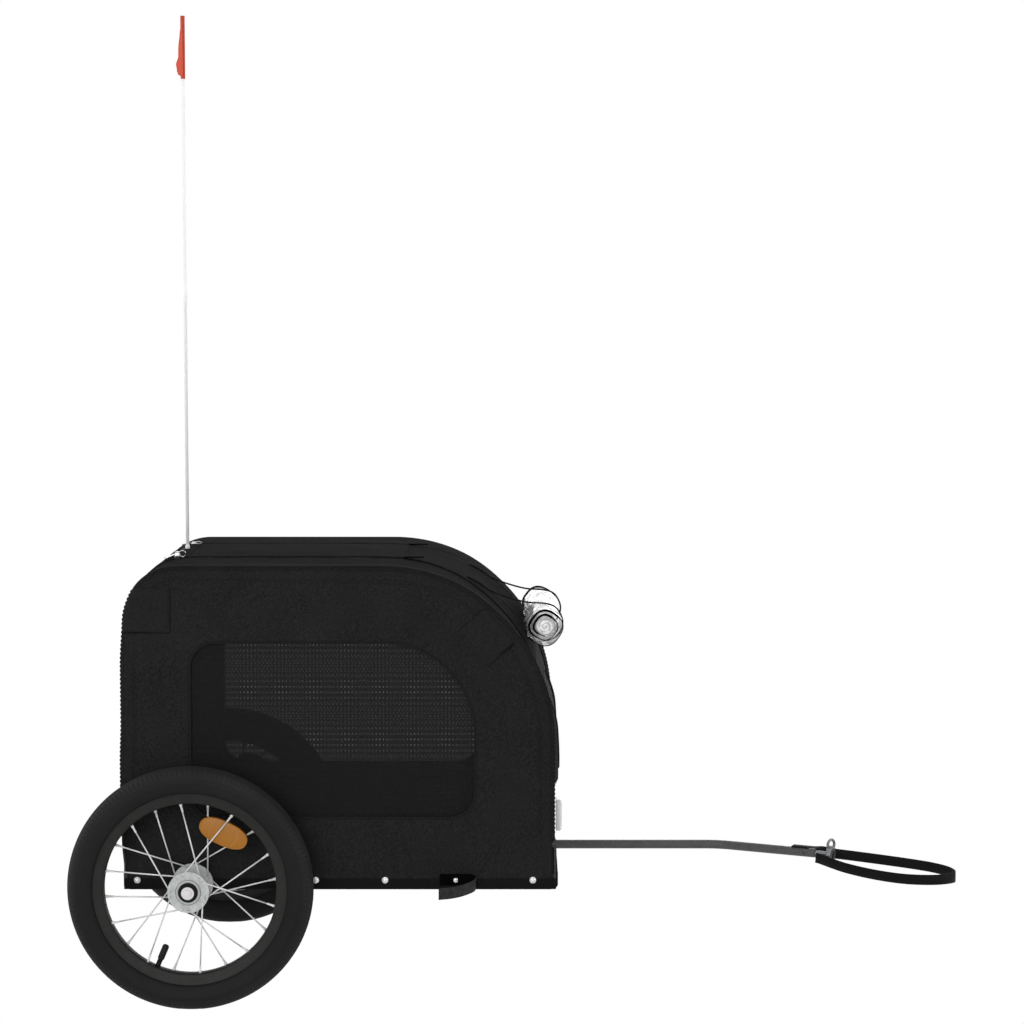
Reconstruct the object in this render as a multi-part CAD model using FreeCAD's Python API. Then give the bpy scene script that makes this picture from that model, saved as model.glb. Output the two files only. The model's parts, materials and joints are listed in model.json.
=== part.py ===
import FreeCAD, Part
import math
import os

# Dog bike trailer with two spoked wheels, a folding fabric cabin, a side drawbar and a safety flag.
# Millimetres. +X is forward, +Y is the trailer's left side, +Z is up.
# The origin is on the ground, under the middle of the wheel axle.

V = FreeCAD.Vector
X_AXIS, Y_AXIS, Z_AXIS = V(1, 0, 0), V(0, 1, 0), V(0, 0, 1)
SIDES = {"right": -1, "left": 1}
MICRO = 0.3            # clearance between soft or flat pieces that lie against each other
PIN_FIT = 0.1          # radial clearance of a pin that turns in an eye
SLIDE_FIT = 0.2        # radial clearance of a rod that slides in a socket

# Wheels
WHEEL_R = 200.0
TYRE_CROWN_WALL = 3.5
TYRE_SIDE_WALL = 3.3
RIM_OUTER_R = 161.0
RIM_SEAT_R = 152.0
RIM_INNER_R = 139.0
RIM_WIDTH = 30.0
RIM_FLANGE = 1.8
RIM_WALL = 2.0
TUBE_WALL = 1.5
VALVE_R = 3.0
VALVE_LENGTH = 32.0
VALVE_ANGLE = 247.0   # degrees from straight ahead, upwards
SPOKES = 20
SPOKE_PHASE_ANGLE = 6.0      # degrees from straight ahead up to the first spoke's rim end
SPOKE_R = 1.0
SPOKE_CROSS_ANGLE = 72.0     # degrees that a spoke turns about the hub between its two ends
SPOKE_STAGGER = 2.3    # a spoke's head sits this far inside or outside its flange's middle
SPOKE_END_GAP = 0.6    # from a spoke's end to the rim
HUB_HOLE_R = 29.0      # circle that the spokes' heads stand on
HUB_EDGE = 5.0         # from that circle to the flange's edge
HUB_FLANGE = 4.0
HUB_LENGTH = 72.0
HUB_OVERHANG = 2.0     # from a flange's outer face to the hub's end
HUB_BODY_R = 17.0
HUB_RECESS_WALL = 1.5
HUB_RECESS = 5.0
HUB_BORE_CLEAR = 1.0
BEARING_R = 13.0
BEARING_WIDTH = 8.0
AXLE_R = 6.0
AXLE_INSERT = 120.0    # length of the axle pin inside the frame
AXLE_HEAD_R = 11.8
AXLE_HEAD = 6.0
BUTTON_R = 6.0
BUTTON_DEPTH = 5.0
BUTTON_PROUD = 3.0
REFLECTOR_LENGTH = 80.0
REFLECTOR_WIDTH = 34.0
REFLECTOR_DEPTH = 13.0 # its edges are grooved where spokes pass
REFLECTOR_R = 107.0
REFLECTOR_ANGLE = 59.0
REFLECTOR_TILT_ANGLE = -25.0

# Cabin outline in side view, which the panels, hoops and covers all follow
REAR_X = -118.0
FRONT_X = 604.0
CABIN_HEIGHT = 536.0   # from the floor rails' underside to the roof
REAR_RADIUS = 95.0
FRONT_RADIUS = 290.0
CABIN_HALF = 264.0     # outer face of the floor rails
COVER = 2.0            # thickness of the sewn roof, front and rear covers
COVER_EDGE = 1.5       # the covers stop this far inside the rails' outer faces
COVER_CLEAR = 1.5      # between a side panel's edge and the inside of the covers
PANEL = 3.0
DOOR_GAP = 0.6

# Floor frame
RAIL = 20.0
RAIL_WALL = 1.5
BOSS_R = 9.0
BOSS_PROUD = 9.7       # from the rail's outer face to the boss's end, which the hub runs against
CROSS_X = 300.0
BOARD = 3.0
MAT = 12.0
MAT_CORNER = 24.0
MAT_EDGE = 4.0
FLOOR_MARGIN = 24.0    # from the covers and rails to the board and mat

# Side hoops, hinges and cross bars
HOOP_R = 8.0
HOOP_WALL = 1.5
HOOP_INSET = 14.0      # from the cabin outline to the tube's centre line
HOOP_CLEAR = 1.0       # from the rails' outer face to the tube
RIGHT_HINGE_RISE = 52.0    # from the rails' tops, unequal so that the sides fold flat in turn
LEFT_HINGE_RISE = 25.0
HINGE_PIN_R = 4.0
CLEVIS = 3.0
CLEVIS_GAP = 0.4
BAR_R = 7.0
BAR_PIN_R = 3.0
BAR_TAB = 3.0
BAR_TAB_GAP = 0.4
BAR_MEET = 15.0        # each half bar stops this far from the middle, so that it swings past the other half
REAR_BAR_DROP = 72.0   # from the roof to the bar
FRONT_BAR_DROP = 117.0
REAR_BAR_BACK = 24.0   # from the hoop's centre line to the bar's pin
FRONT_BAR_BACK = 42.0

# Side windows
WINDOW_REAR = 116.0    # from the cabin's rear, front, bottom and roof to the window
WINDOW_FRONT = 138.0
WINDOW_RISE = 120.0
WINDOW_DROP = 127.0
WINDOW_RADIUS = 40.0
WINDOW_FRONT_RADIUS = 150.0
NET = 1.0
NET_LAP = 10.0
NET_PITCH = 23.0
NET_CORD = 5.0

# Openings and flaps of the covers
FLAP_REAR = 96.0       # from the cabin's rear and front to the roof flap
FLAP_FRONT = 254.0
FLAP_HALF = 115.0
DOOR_HALF = 190.0
DOOR_RISE = 60.0       # from the cabin's bottom to both doors
REAR_DOOR_DROP = 31.0  # from the rear curve's lower end to the rear door
FRONT_DOOR_ANGLE = 24.0
ROOF_FRONT = 184.0     # from the cabin's front to the seam between roof and front

# Skirt, snap heads and tie strap along the bottom edge
SKIRT = 2.0
SNAP_R = 5.5
SNAP_PROUD = 2.4
SNAP_RISE = 14.0
SNAPS_FROM_REAR = (25.0, 173.0, 321.0)
SNAPS_FROM_FRONT = (286.0, 169.0, 41.0)
TIE_FRONT = 135.0      # from the cabin's front to the tie strap's fold
TIE_LENGTH = 60.0
TIE_WIDTH = 20.0
TIE_THICK = 1.6
TIE_FOLD = 10.0
TIE_BEND_R = 4.5
TIE_REACH = 60.0

# Rolled rain cover and its two elastic ties
ROLL_ANGLE = 34.2
ROLL_OUTER_R = 30.0
ROLL_CORE_R = 9.0
ROLL_SHEET = 1.2
ROLL_HALF_TURNS = 10
ROLL_GAP = 4.0
TIE_CORD_R = 1.5
TIE_CORD_Y = 105.0
TIE_CORD_TOP_ANGLE = 61.0
TIE_CORD_BOTTOM_ANGLE = 28.0

# Zip sliders on the roof
ZIP_BACK = 8.0         # from the flap's rear edge to the slider's rear end
ZIP_OFFSET = 6.0       # from the flap's edge to the zip
ZIP_BODY = (11.0, 8.0, 3.6)
ZIP_TAB = (12.0, 6.0, 1.4)

# Drawbar, hitch and safety strap
DRAWBAR_IN = 74.0      # from the rails' outer faces to the tube's centre line
DRAWBAR_DROP = 20.0    # from the rails' undersides to the tube's centre line
DRAWBAR_R = 8.0
DRAWBAR_WALL = 1.5
DRAWBAR_TAIL = 38.0    # from the middle cross tube back to the drawbar's rear end
DRAWBAR_REACH = 301.0  # from the cabin's front to the bend's corner
DRAWBAR_BEND_R = 100.0
DRAWBAR_TOE_ANGLE = 25.3     # degrees that the front end turns inward
DRAWBAR_TIP = 187.0    # from the bend's corner to the tube's end
DRAWBAR_PLUG = 3.5     # of the end plug, behind the strap's bolt
CLAMP = 24.0
CLAMP_WALL = 7.0
KNOB_R = 14.0
KNOB = 12.0
KNOB_LOBES = 5
KNOB_NOTCH_R = 4.7
KNOB_NOTCH_OUT = 2.1   # from the knob's rim to the notches' centres
KNOB_STUD_R = 3.0
STEM_R = 5.0
STEM_IN = 20.0
STEM_OUT = 24.0
SOCKET_R = 16.5
SOCKET_LENGTH = 9.0
SOCKET_BORE_R = 7.0
SOCKET_DEPTH = 7.0
STRAP_WIDTH = 20.0
STRAP = 1.8
STRAP_BOLT_BACK = 1.5  # from the hitch stem's end to the strap's bolt
STRAP_TAIL = 10.0
STRAP_LENGTH = 246.0
STRAP_HALF = 44.0
STRAP_SWELL = 4.4      # the loop's middle is this much narrower than its end, each side
STRAP_BENDS = (30.0, 40.0, 120.0, 300.0, 43.0)
STRAP_DROOP_ANGLE = 4.2
BOLT_R = 2.5
BOLT_HEAD_R = 4.5
BOLT_HEAD = 3.0

# Flag
FLAG_BACK = 16.0       # from the roof flap to the pole
FLAG_Y = 50.0
POLE_R = 3.0
POLE_ABOVE = 938.0     # from the roof to the pole's top
POLE_ROUND = 2.4
SOCKET_WALL = 3.0
SOCKET_BELOW = 26.0    # the flag's socket reaches this far under and over the roof
SOCKET_ABOVE = 16.0
PENNANT_HOIST = 108.0
PENNANT_FLY = 150.0
PENNANT = 0.8
PENNANT_DROP = 6.0     # from the pole's top to the cloth
PENNANT_END = 13.5     # height of the cloth's narrow end

# Reflectors on the front cover
FRONT_REFLECTOR = (6.0, 38.0, 52.0)
FRONT_REFLECTOR_OUT = 25.0    # from the front door's edge to the reflectors' middles
FRONT_REFLECTOR_RISE = 126.0

# Sizes that follow from those above
AXLE_Z = WHEEL_R
RAIL_BORE_R = AXLE_R + SLIDE_FIT
BOSS_END = CABIN_HALF + BOSS_PROUD
WHEEL_Y = BOSS_END + MICRO + HUB_LENGTH / 2
HUB_END = WHEEL_Y + HUB_LENGTH / 2 + MICRO
BOTTOM_Z = AXLE_Z - RAIL / 2
RAIL_TOP = BOTTOM_Z + RAIL
ROOF_Z = BOTTOM_Z + CABIN_HEIGHT
HINGE_Z = {"right": RAIL_TOP + RIGHT_HINGE_RISE, "left": RAIL_TOP + LEFT_HINGE_RISE}
FRONT_CENTRE = V(FRONT_X - FRONT_RADIUS, 0, ROOF_Z - FRONT_RADIUS)
HOOP_Y = CABIN_HALF - HOOP_CLEAR - HOOP_R
HOOP_LEGS = (REAR_X + HOOP_INSET, FRONT_X - HOOP_INSET)
EYE_R = HOOP_R + HOOP_CLEAR
PANEL_IN = CABIN_HALF + MICRO
PANEL_INSET = COVER + COVER_CLEAR
COVER_HALF = CABIN_HALF - COVER_EDGE
BOARD_Z = RAIL_TOP + MICRO
MAT_Z = BOARD_Z + BOARD
SKIRT_OUT = PANEL_IN + SKIRT
SNAP_Z = BOTTOM_Z + SNAP_RISE
WINDOW_X0 = REAR_X + WINDOW_REAR
WINDOW_X1 = FRONT_X - WINDOW_FRONT
WINDOW_Z0 = BOTTOM_Z + WINDOW_RISE
WINDOW_Z1 = ROOF_Z - WINDOW_DROP
FLAP_X0 = REAR_X + FLAP_REAR
FLAP_X1 = FRONT_X - FLAP_FRONT
DOOR_Z0 = BOTTOM_Z + DOOR_RISE
FLAG_X = FLAP_X0 - FLAG_BACK
POLE_TOP = ROOF_Z + POLE_ABOVE
DRAWBAR_Y = CABIN_HALF - DRAWBAR_IN
DRAWBAR_Z = BOTTOM_Z - DRAWBAR_DROP
STRAP_ANCHOR = STEM_IN + BOLT_R + STRAP_BOLT_BACK


def box(x0, x1, y0, y1, z0, z1):
    """A box between two corners, whichever way round each pair is given."""
    low = V(min(x0, x1), min(y0, y1), min(z0, z1))
    return Part.makeBox(abs(x1 - x0), abs(y1 - y0), abs(z1 - z0), low)


def rod(start, axis, radius, length):
    return Part.makeCylinder(radius, length, start, axis)


def ring(start, axis, outer, inner, length):
    return rod(start, axis, outer, length).cut(rod(start, axis, inner, length))


def fused(shapes):
    """One solid from shapes that overlap or share faces."""
    return shapes[0].multiFuse(shapes[1:]).removeSplitter()


def mirrored_y(shape):
    return shape.mirror(V(0, 0, 0), Y_AXIS)


def largest(shape):
    """The largest of a shape's solids."""
    return sorted(shape.Solids, key=volume)[-1]


def volume(shape):
    return shape.Volume


def polyline(points):
    return Part.makePolygon([V(*p) for p in points])


def plate(wire, depth):
    """The flat face inside a wire, pushed along a vector."""
    return Part.Face(wire).extrude(depth)


def revolved(edges, axis=Y_AXIS):
    """A closed outline of edges, turned about an axis through the origin."""
    return Part.Face(Part.Wire(Part.sortEdges(edges)[0])).revolve(V(0, 0, 0), axis, 360)


def outline(inset, bottom, y):
    """The cabin's side view, drawn in by inset, closed along its bottom edge, in the plane of y."""
    rear, front, top = REAR_X + inset, FRONT_X - inset, ROOF_Z - inset
    rear_c = V(REAR_X + REAR_RADIUS, y, ROOF_Z - REAR_RADIUS)
    front_c = V(FRONT_CENTRE.x, y, FRONT_CENTRE.z)
    rear_r, front_r = REAR_RADIUS - inset, FRONT_RADIUS - inset
    diagonal = math.sqrt(0.5)
    rear_mid = rear_c + V(-diagonal, 0, diagonal) * rear_r
    front_mid = front_c + V(diagonal, 0, diagonal) * front_r
    start, end = V(rear, y, bottom), V(front, y, bottom)
    rear_low, rear_top = V(rear, y, rear_c.z), V(rear_c.x, y, top)
    front_top, front_low = V(front_c.x, y, top), V(front, y, front_c.z)
    upright = [
        Part.LineSegment(start, rear_low).toShape(),
        Part.Arc(rear_low, rear_mid, rear_top).toShape(),
        Part.LineSegment(rear_top, front_top).toShape(),
        Part.Arc(front_top, front_mid, front_low).toShape(),
        Part.LineSegment(front_low, end).toShape(),
    ]
    return upright, Part.LineSegment(end, start).toShape()


def outline_solid(inset, bottom, y0, y1):
    upright, floor = outline(inset, bottom, y0)
    return plate(Part.Wire(upright + [floor]), V(0, y1 - y0, 0))


def on_front(angle, radius, y=0.0):
    """A point at an angle above the horizontal, about the centre of the front's curve."""
    turn = math.radians(angle)
    return FRONT_CENTRE + V(math.cos(turn) * radius, y, math.sin(turn) * radius)


def swept(path, section):
    """A section carried along a path of straight runs and tangent arcs."""
    return Part.Wire(path).makePipeShell([section], True, False)


def round_section(start, direction, radius):
    return Part.Wire([Part.Circle(start, direction, radius).toShape()])


def tube_along(path, radius, wall):
    """A hollow tube along a path that starts at its first edge."""
    first = path[0]
    start = first.valueAt(first.FirstParameter)
    direction = first.tangentAt(first.FirstParameter)
    outer = swept(path, round_section(start, direction, radius))
    return outer.cut(swept(path, round_section(start, direction, radius - wall)))


def bent_path(points, radii):
    """Straight runs between points, with a tangent arc of each radius at the inner points."""
    edges = []
    start = points[0]
    for corner, after, radius in zip(points[1:-1], points[2:], radii):
        into = (corner - start).normalize()
        out = (after - corner).normalize()
        turn = into.getAngle(out)
        back = radius * math.tan(turn / 2)
        arc_in, arc_out = corner - into * back, corner + out * back
        toward = (out - into).normalize()
        middle = corner + toward * (radius / math.cos(turn / 2) - radius)
        if (arc_in - start).Length > 1e-6:
            edges.append(Part.LineSegment(start, arc_in).toShape())
        edges.append(Part.Arc(arc_in, middle, arc_out).toShape())
        start = arc_out
    edges.append(Part.LineSegment(start, points[-1]).toShape())
    return edges


def rounded_box_wire(x0, x1, z0, z1, radii, y):
    """A rectangle in the plane of y, with a radius for each corner from lower rear, clockwise."""
    corners = [V(x0, y, z0), V(x0, y, z1), V(x1, y, z1), V(x1, y, z0)]
    edges = []
    ends = []
    for index, (corner, radius) in enumerate(zip(corners, radii)):
        into = (corner - corners[index - 1]).normalize()
        out = (corners[(index + 1) % 4] - corner).normalize()
        centre = corner - into * radius + out * radius
        middle = centre + (into - out).normalize() * radius
        ends.append((corner - into * radius, middle, corner + out * radius))
    for index, (arc_in, middle, arc_out) in enumerate(ends):
        edges.append(Part.Arc(arc_in, middle, arc_out).toShape())
        edges.append(Part.LineSegment(arc_out, ends[(index + 1) % 4][0]).toShape())
    return Part.Wire(edges)


def floor_parts():
    parts = {}
    inner_half = CABIN_HALF - RAIL
    rear_in = REAR_X + COVER + MICRO
    front_in = FRONT_X - COVER - MICRO
    for name, side in SIDES.items():
        outer = box(rear_in, front_in, inner_half, CABIN_HALF, BOTTOM_Z, RAIL_TOP)
        bore = box(rear_in, front_in, inner_half + RAIL_WALL, CABIN_HALF - RAIL_WALL,
                   BOTTOM_Z + RAIL_WALL, RAIL_TOP - RAIL_WALL)
        boss = rod(V(0, CABIN_HALF, AXLE_Z), Y_AXIS, BOSS_R, BOSS_PROUD)
        rail = fused([outer.cut(bore), boss])
        rail = rail.cut(rod(V(0, inner_half, AXLE_Z), Y_AXIS, RAIL_BORE_R, BOSS_END - inner_half))
        parts[name + "_floor_rail"] = rail if side > 0 else mirrored_y(rail)
    tubes = []
    for x0 in (rear_in, CROSS_X - RAIL / 2, front_in - RAIL):
        outer = box(x0, x0 + RAIL, -inner_half, inner_half, BOTTOM_Z, RAIL_TOP)
        bore = box(x0 + RAIL_WALL, x0 + RAIL - RAIL_WALL, -inner_half, inner_half,
                   BOTTOM_Z + RAIL_WALL, RAIL_TOP - RAIL_WALL)
        tubes.append(outer.cut(bore))
    parts["cross_tubes"] = Part.makeCompound(tubes)
    axle = ring(V(0, -inner_half, AXLE_Z), Y_AXIS, RAIL / 2, RAIL_BORE_R, 2 * inner_half)
    parts["axle_tube"] = axle
    half = CABIN_HALF - FLOOR_MARGIN
    parts["floor_board"] = box(REAR_X + FLOOR_MARGIN, FRONT_X - FLOOR_MARGIN, -half, half,
                               BOARD_Z, BOARD_Z + BOARD)
    mat = box(REAR_X + FLOOR_MARGIN, FRONT_X - FLOOR_MARGIN, -half, half, MAT_Z, MAT_Z + MAT)
    uprights = [edge for edge in mat.Edges if abs(edge.tangentAt(0).z) > 0.9]
    mat = mat.makeFillet(MAT_CORNER, uprights)
    rims = [edge for edge in mat.Edges if abs(edge.BoundBox.ZMax - edge.BoundBox.ZMin) < 1e-6]
    parts["floor_mat"] = mat.makeFillet(MAT_EDGE, rims)
    return parts


def axle_pins():
    """Two push-in axle pins, each with a head that holds a release button."""
    pins = []
    inner = CABIN_HALF - AXLE_INSERT
    for side in SIDES.values():
        shank = rod(V(0, inner, AXLE_Z), Y_AXIS, AXLE_R, HUB_END - inner)
        head = rod(V(0, HUB_END, AXLE_Z), Y_AXIS, AXLE_HEAD_R, AXLE_HEAD)
        pocket = rod(V(0, HUB_END + AXLE_HEAD - BUTTON_DEPTH, AXLE_Z), Y_AXIS,
                     BUTTON_R + PIN_FIT, BUTTON_DEPTH)
        pin = fused([shank, head]).cut(pocket)
        pins.append(pin if side > 0 else mirrored_y(pin))
    return Part.makeCompound(pins)


def release_button(side):
    """The button's rear half stays in the pocket, with room behind it for its travel."""
    face = HUB_END + AXLE_HEAD
    button = rod(V(0, face - BUTTON_DEPTH / 2, AXLE_Z), Y_AXIS, BUTTON_R, BUTTON_DEPTH / 2 + BUTTON_PROUD)
    crown = [edge for edge in button.Edges if edge.BoundBox.YMin > face]
    button = button.makeFillet(BUTTON_PROUD / 3, crown)
    return button if side > 0 else mirrored_y(button)


def arc_section(half_width, low, high):
    """Two arcs in the plane of x 0, over a tyre, with the centre and radius of the circle they share."""
    centre = (high ** 2 - low ** 2 - half_width ** 2) / (2 * (high - low))
    radius = high - centre
    side = math.sqrt(0.5) * radius
    first = Part.Arc(V(0, half_width, low), V(0, side, centre + side), V(0, 0, high))
    second = Part.Arc(V(0, 0, high), V(0, -side, centre + side), V(0, -half_width, low))
    return [first.toShape(), second.toShape()], centre, radius


def line(a, b):
    return Part.LineSegment(V(*a), V(*b)).toShape()


def wheel_parts(name):
    """One wheel about the Y axis at the origin, moved to its place at the end."""
    bead_out = RIM_WIDTH / 2 - RIM_FLANGE - MICRO
    bead_in = bead_out - TYRE_SIDE_WALL
    bead_low = RIM_SEAT_R + MICRO
    knee_out = RIM_OUTER_R + MICRO
    knee_in = knee_out + TYRE_SIDE_WALL / 2
    over = arc_section(bead_out, knee_out, WHEEL_R)[0]
    under, tube_c, tube_r = arc_section(bead_in, knee_in, WHEEL_R - TYRE_CROWN_WALL)
    tyre = revolved(
        [line((0, bead_out, bead_low), (0, bead_out, knee_out))] + over
        + [line((0, -bead_out, knee_out), (0, -bead_out, bead_low)),
           line((0, -bead_out, bead_low), (0, -bead_in, bead_low)),
           line((0, -bead_in, bead_low), (0, -bead_in, knee_in))] + under
        + [line((0, bead_in, knee_in), (0, bead_in, bead_low)),
           line((0, bead_in, bead_low), (0, bead_out, bead_low))])

    turn = math.radians(VALVE_ANGLE)
    outward = V(math.cos(turn), 0, math.sin(turn))
    tube_outer = tube_r - MICRO
    tube = Part.makeTorus(tube_c, tube_outer, V(0, 0, 0), Y_AXIS)
    valve = rod(outward * (RIM_INNER_R - VALVE_LENGTH), outward, VALVE_R,
                tube_c - tube_outer / 2 - RIM_INNER_R + VALVE_LENGTH)
    tube = tube.fuse(valve).cut(Part.makeTorus(tube_c, tube_outer - TUBE_WALL, V(0, 0, 0), Y_AXIS))
    tube = largest(tube)

    half = RIM_WIDTH / 2
    rim = ring(V(0, -half, 0), Y_AXIS, RIM_OUTER_R, RIM_INNER_R, RIM_WIDTH)
    rim = rim.cut(ring(V(0, -half + RIM_FLANGE, 0), Y_AXIS, RIM_OUTER_R, RIM_SEAT_R,
                       RIM_WIDTH - 2 * RIM_FLANGE))
    rim = rim.cut(ring(V(0, -half + RIM_WALL, 0), Y_AXIS, RIM_SEAT_R - RIM_WALL, RIM_INNER_R + RIM_WALL,
                       RIM_WIDTH - 2 * RIM_WALL))
    rim = rim.cut(rod(V(0, 0, 0), outward, VALVE_R + SLIDE_FIT, RIM_OUTER_R))

    spokes = []
    grooves = []
    flange = HUB_LENGTH / 2 - HUB_OVERHANG - HUB_FLANGE / 2
    step = 360 / SPOKES
    for index in range(SPOKES):
        plane = 1 if index % 2 else -1
        leads = 1 if (index // 2) % 2 else -1
        rim_angle = SPOKE_PHASE_ANGLE + index * step
        rim_turn = math.radians(rim_angle)
        hub_turn = math.radians(rim_angle + leads * SPOKE_CROSS_ANGLE)
        head = V(math.cos(hub_turn) * HUB_HOLE_R, plane * flange + leads * plane * SPOKE_STAGGER,
                 math.sin(hub_turn) * HUB_HOLE_R)
        nipple = V(math.cos(rim_turn) * RIM_INNER_R, plane * half / 4, math.sin(rim_turn) * RIM_INNER_R)
        run = nipple - head
        spokes.append(rod(head, run, SPOKE_R, run.Length - SPOKE_END_GAP))
        grooves.append(rod(head, run, SPOKE_R + MICRO, run.Length))

    bore = AXLE_R + HUB_BORE_CLEAR
    long = HUB_LENGTH / 2
    hub = rod(V(0, -long, 0), Y_AXIS, HUB_BODY_R, HUB_LENGTH)
    discs = [rod(V(0, s * flange - HUB_FLANGE / 2, 0), Y_AXIS, HUB_HOLE_R + HUB_EDGE, HUB_FLANGE)
             for s in (-1, 1)]
    hub = fused([hub] + discs).cut(rod(V(0, -long, 0), Y_AXIS, bore, HUB_LENGTH))
    hub = hub.cut(rod(V(0, long - HUB_RECESS, 0), Y_AXIS, HUB_BODY_R - HUB_RECESS_WALL, HUB_RECESS))
    outer_seat = long - HUB_RECESS - BEARING_WIDTH
    bearings = []
    for start in (-long, outer_seat):
        hub = hub.cut(rod(V(0, start, 0), Y_AXIS, BEARING_R, BEARING_WIDTH))
        bearings.append(ring(V(0, start, 0), Y_AXIS, BEARING_R, AXLE_R + PIN_FIT / 2, BEARING_WIDTH))
    for spoke in spokes:
        hub = hub.cut(spoke)

    ends = REFLECTOR_LENGTH / 2 - REFLECTOR_WIDTH / 2
    back = -REFLECTOR_DEPTH / 2
    oval = fused([rod(V(s * ends, back, 0), Y_AXIS, REFLECTOR_WIDTH / 2, REFLECTOR_DEPTH) for s in (-1, 1)]
                 + [box(-ends, ends, back, -back, -REFLECTOR_WIDTH / 2, REFLECTOR_WIDTH / 2)])
    oval.rotate(V(0, 0, 0), Y_AXIS, -REFLECTOR_TILT_ANGLE)
    where = math.radians(REFLECTOR_ANGLE)
    oval.translate(V(math.cos(where) * REFLECTOR_R, 0, math.sin(where) * REFLECTOR_R))
    oval = largest(oval.cut(grooves))

    group = {
        "tyre": tyre, "inner_tube": tube, "rim": rim, "spokes": Part.makeCompound(spokes), "hub": hub,
        "bearings": Part.makeCompound(bearings), "spoke_reflector": oval,
    }
    parts = {}
    for part, shape in group.items():
        shape = shape.copy()
        shape.translate(V(0, WHEEL_Y, AXLE_Z))
        parts[name + "_" + part] = shape if name == "left" else mirrored_y(shape)
    return parts


def hinge_parts():
    """A clevis and a pin on the floor rail for each leg of both hoops."""
    clevises = []
    pins = []
    inside = HOOP_R + CLEVIS_GAP
    outside = inside + CLEVIS
    for name, side in SIDES.items():
        height = HINGE_Z[name]
        for leg in HOOP_LEGS:
            cheek = fused([rod(V(leg - outside, HOOP_Y, height), X_AXIS, EYE_R, 2 * outside),
                           box(leg - outside, leg + outside, HOOP_Y - EYE_R, HOOP_Y + EYE_R, RAIL_TOP, height)])
            room = box(leg - inside, leg + inside, HOOP_Y - 2 * EYE_R, HOOP_Y + 2 * EYE_R,
                       RAIL_TOP + CLEVIS, height + 2 * EYE_R)
            clevis = cheek.cut(room)
            clevis = clevis.cut(rod(V(leg - outside, HOOP_Y, height), X_AXIS, HINGE_PIN_R, 2 * outside))
            pin = rod(V(leg - outside, HOOP_Y, height), X_AXIS, HINGE_PIN_R, 2 * outside)
            clevises.append(clevis if side > 0 else mirrored_y(clevis))
            pins.append(pin if side > 0 else mirrored_y(pin))
    return {"hinge_brackets": Part.makeCompound(clevises), "hinge_pins": Part.makeCompound(pins)}


def hoop_x(end, z):
    """Where the hoop's centre line crosses a height on its rear upright or its front curve."""
    if end == "rear":
        return REAR_X + HOOP_INSET
    return FRONT_CENTRE.x + math.sqrt((FRONT_RADIUS - HOOP_INSET) ** 2 - (z - FRONT_CENTRE.z) ** 2)


def bar_places():
    """Each cross bar's end of the cabin, with the x and z of its line."""
    rear_z, front_z = ROOF_Z - REAR_BAR_DROP, ROOF_Z - FRONT_BAR_DROP
    return (("rear", hoop_x("rear", rear_z) + REAR_BAR_BACK, rear_z),
            ("front", hoop_x("front", front_z) - FRONT_BAR_BACK, front_z))


def hoop_parts(name):
    """The side's bent tube with its hinge eyes and the two tabs that carry each half cross bar."""
    side = SIDES[name]
    height = HINGE_Z[name]
    path = outline(HOOP_INSET, height, HOOP_Y)[0]
    hoop = tube_along(path, HOOP_R, HOOP_WALL)
    for leg in HOOP_LEGS:
        eye = rod(V(leg - HOOP_R, HOOP_Y, height), X_AXIS, EYE_R, 2 * HOOP_R)
        hoop = fused([hoop, eye])
        hoop = hoop.cut(rod(V(leg - HOOP_R, HOOP_Y, height), X_AXIS, HINGE_PIN_R + PIN_FIT, 2 * HOOP_R))
    inside = BAR_R + BAR_TAB_GAP
    pins = []
    bore = swept(path, round_section(path[0].valueAt(path[0].FirstParameter), Z_AXIS, HOOP_R - HOOP_WALL))
    for end, bar_x, bar_z in bar_places():
        for low in (bar_z - inside - BAR_TAB, bar_z + inside):
            reach = hoop_x(end, low + BAR_TAB / 2)
            tab = fused([box(bar_x, reach, HOOP_Y - HOOP_R, HOOP_Y + HOOP_R, low, low + BAR_TAB),
                         rod(V(bar_x, HOOP_Y, low), Z_AXIS, HOOP_R, BAR_TAB)])
            tab = tab.cut(bore).cut(rod(V(bar_x, HOOP_Y, low), Z_AXIS, BAR_PIN_R, BAR_TAB))
            hoop = fused([hoop, largest(tab)])
        pins.append(rod(V(bar_x, HOOP_Y, bar_z - inside - BAR_TAB), Z_AXIS, BAR_PIN_R,
                        2 * (inside + BAR_TAB)))
    parts = {name + "_hoop": hoop, name + "_bar_pins": Part.makeCompound(pins)}
    for end, bar_x, bar_z in bar_places():
        eye = rod(V(bar_x, HOOP_Y, bar_z - BAR_R), Z_AXIS, HOOP_R, 2 * BAR_R)
        arm = rod(V(bar_x, BAR_MEET, bar_z), Y_AXIS, BAR_R, HOOP_Y - BAR_MEET)
        bore = rod(V(bar_x, BAR_MEET, bar_z), Y_AXIS, BAR_R - HOOP_WALL, HOOP_Y - BAR_MEET - HOOP_R)
        arm = fused([arm, eye]).cut(bore)
        arm = arm.cut(rod(V(bar_x, HOOP_Y, bar_z - BAR_R), Z_AXIS, BAR_PIN_R + PIN_FIT, 2 * BAR_R))
        parts[name + "_" + end + "_bar"] = arm
    if side < 0:
        parts = {node: mirrored_y(shape) for node, shape in parts.items()}
    return parts


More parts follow.
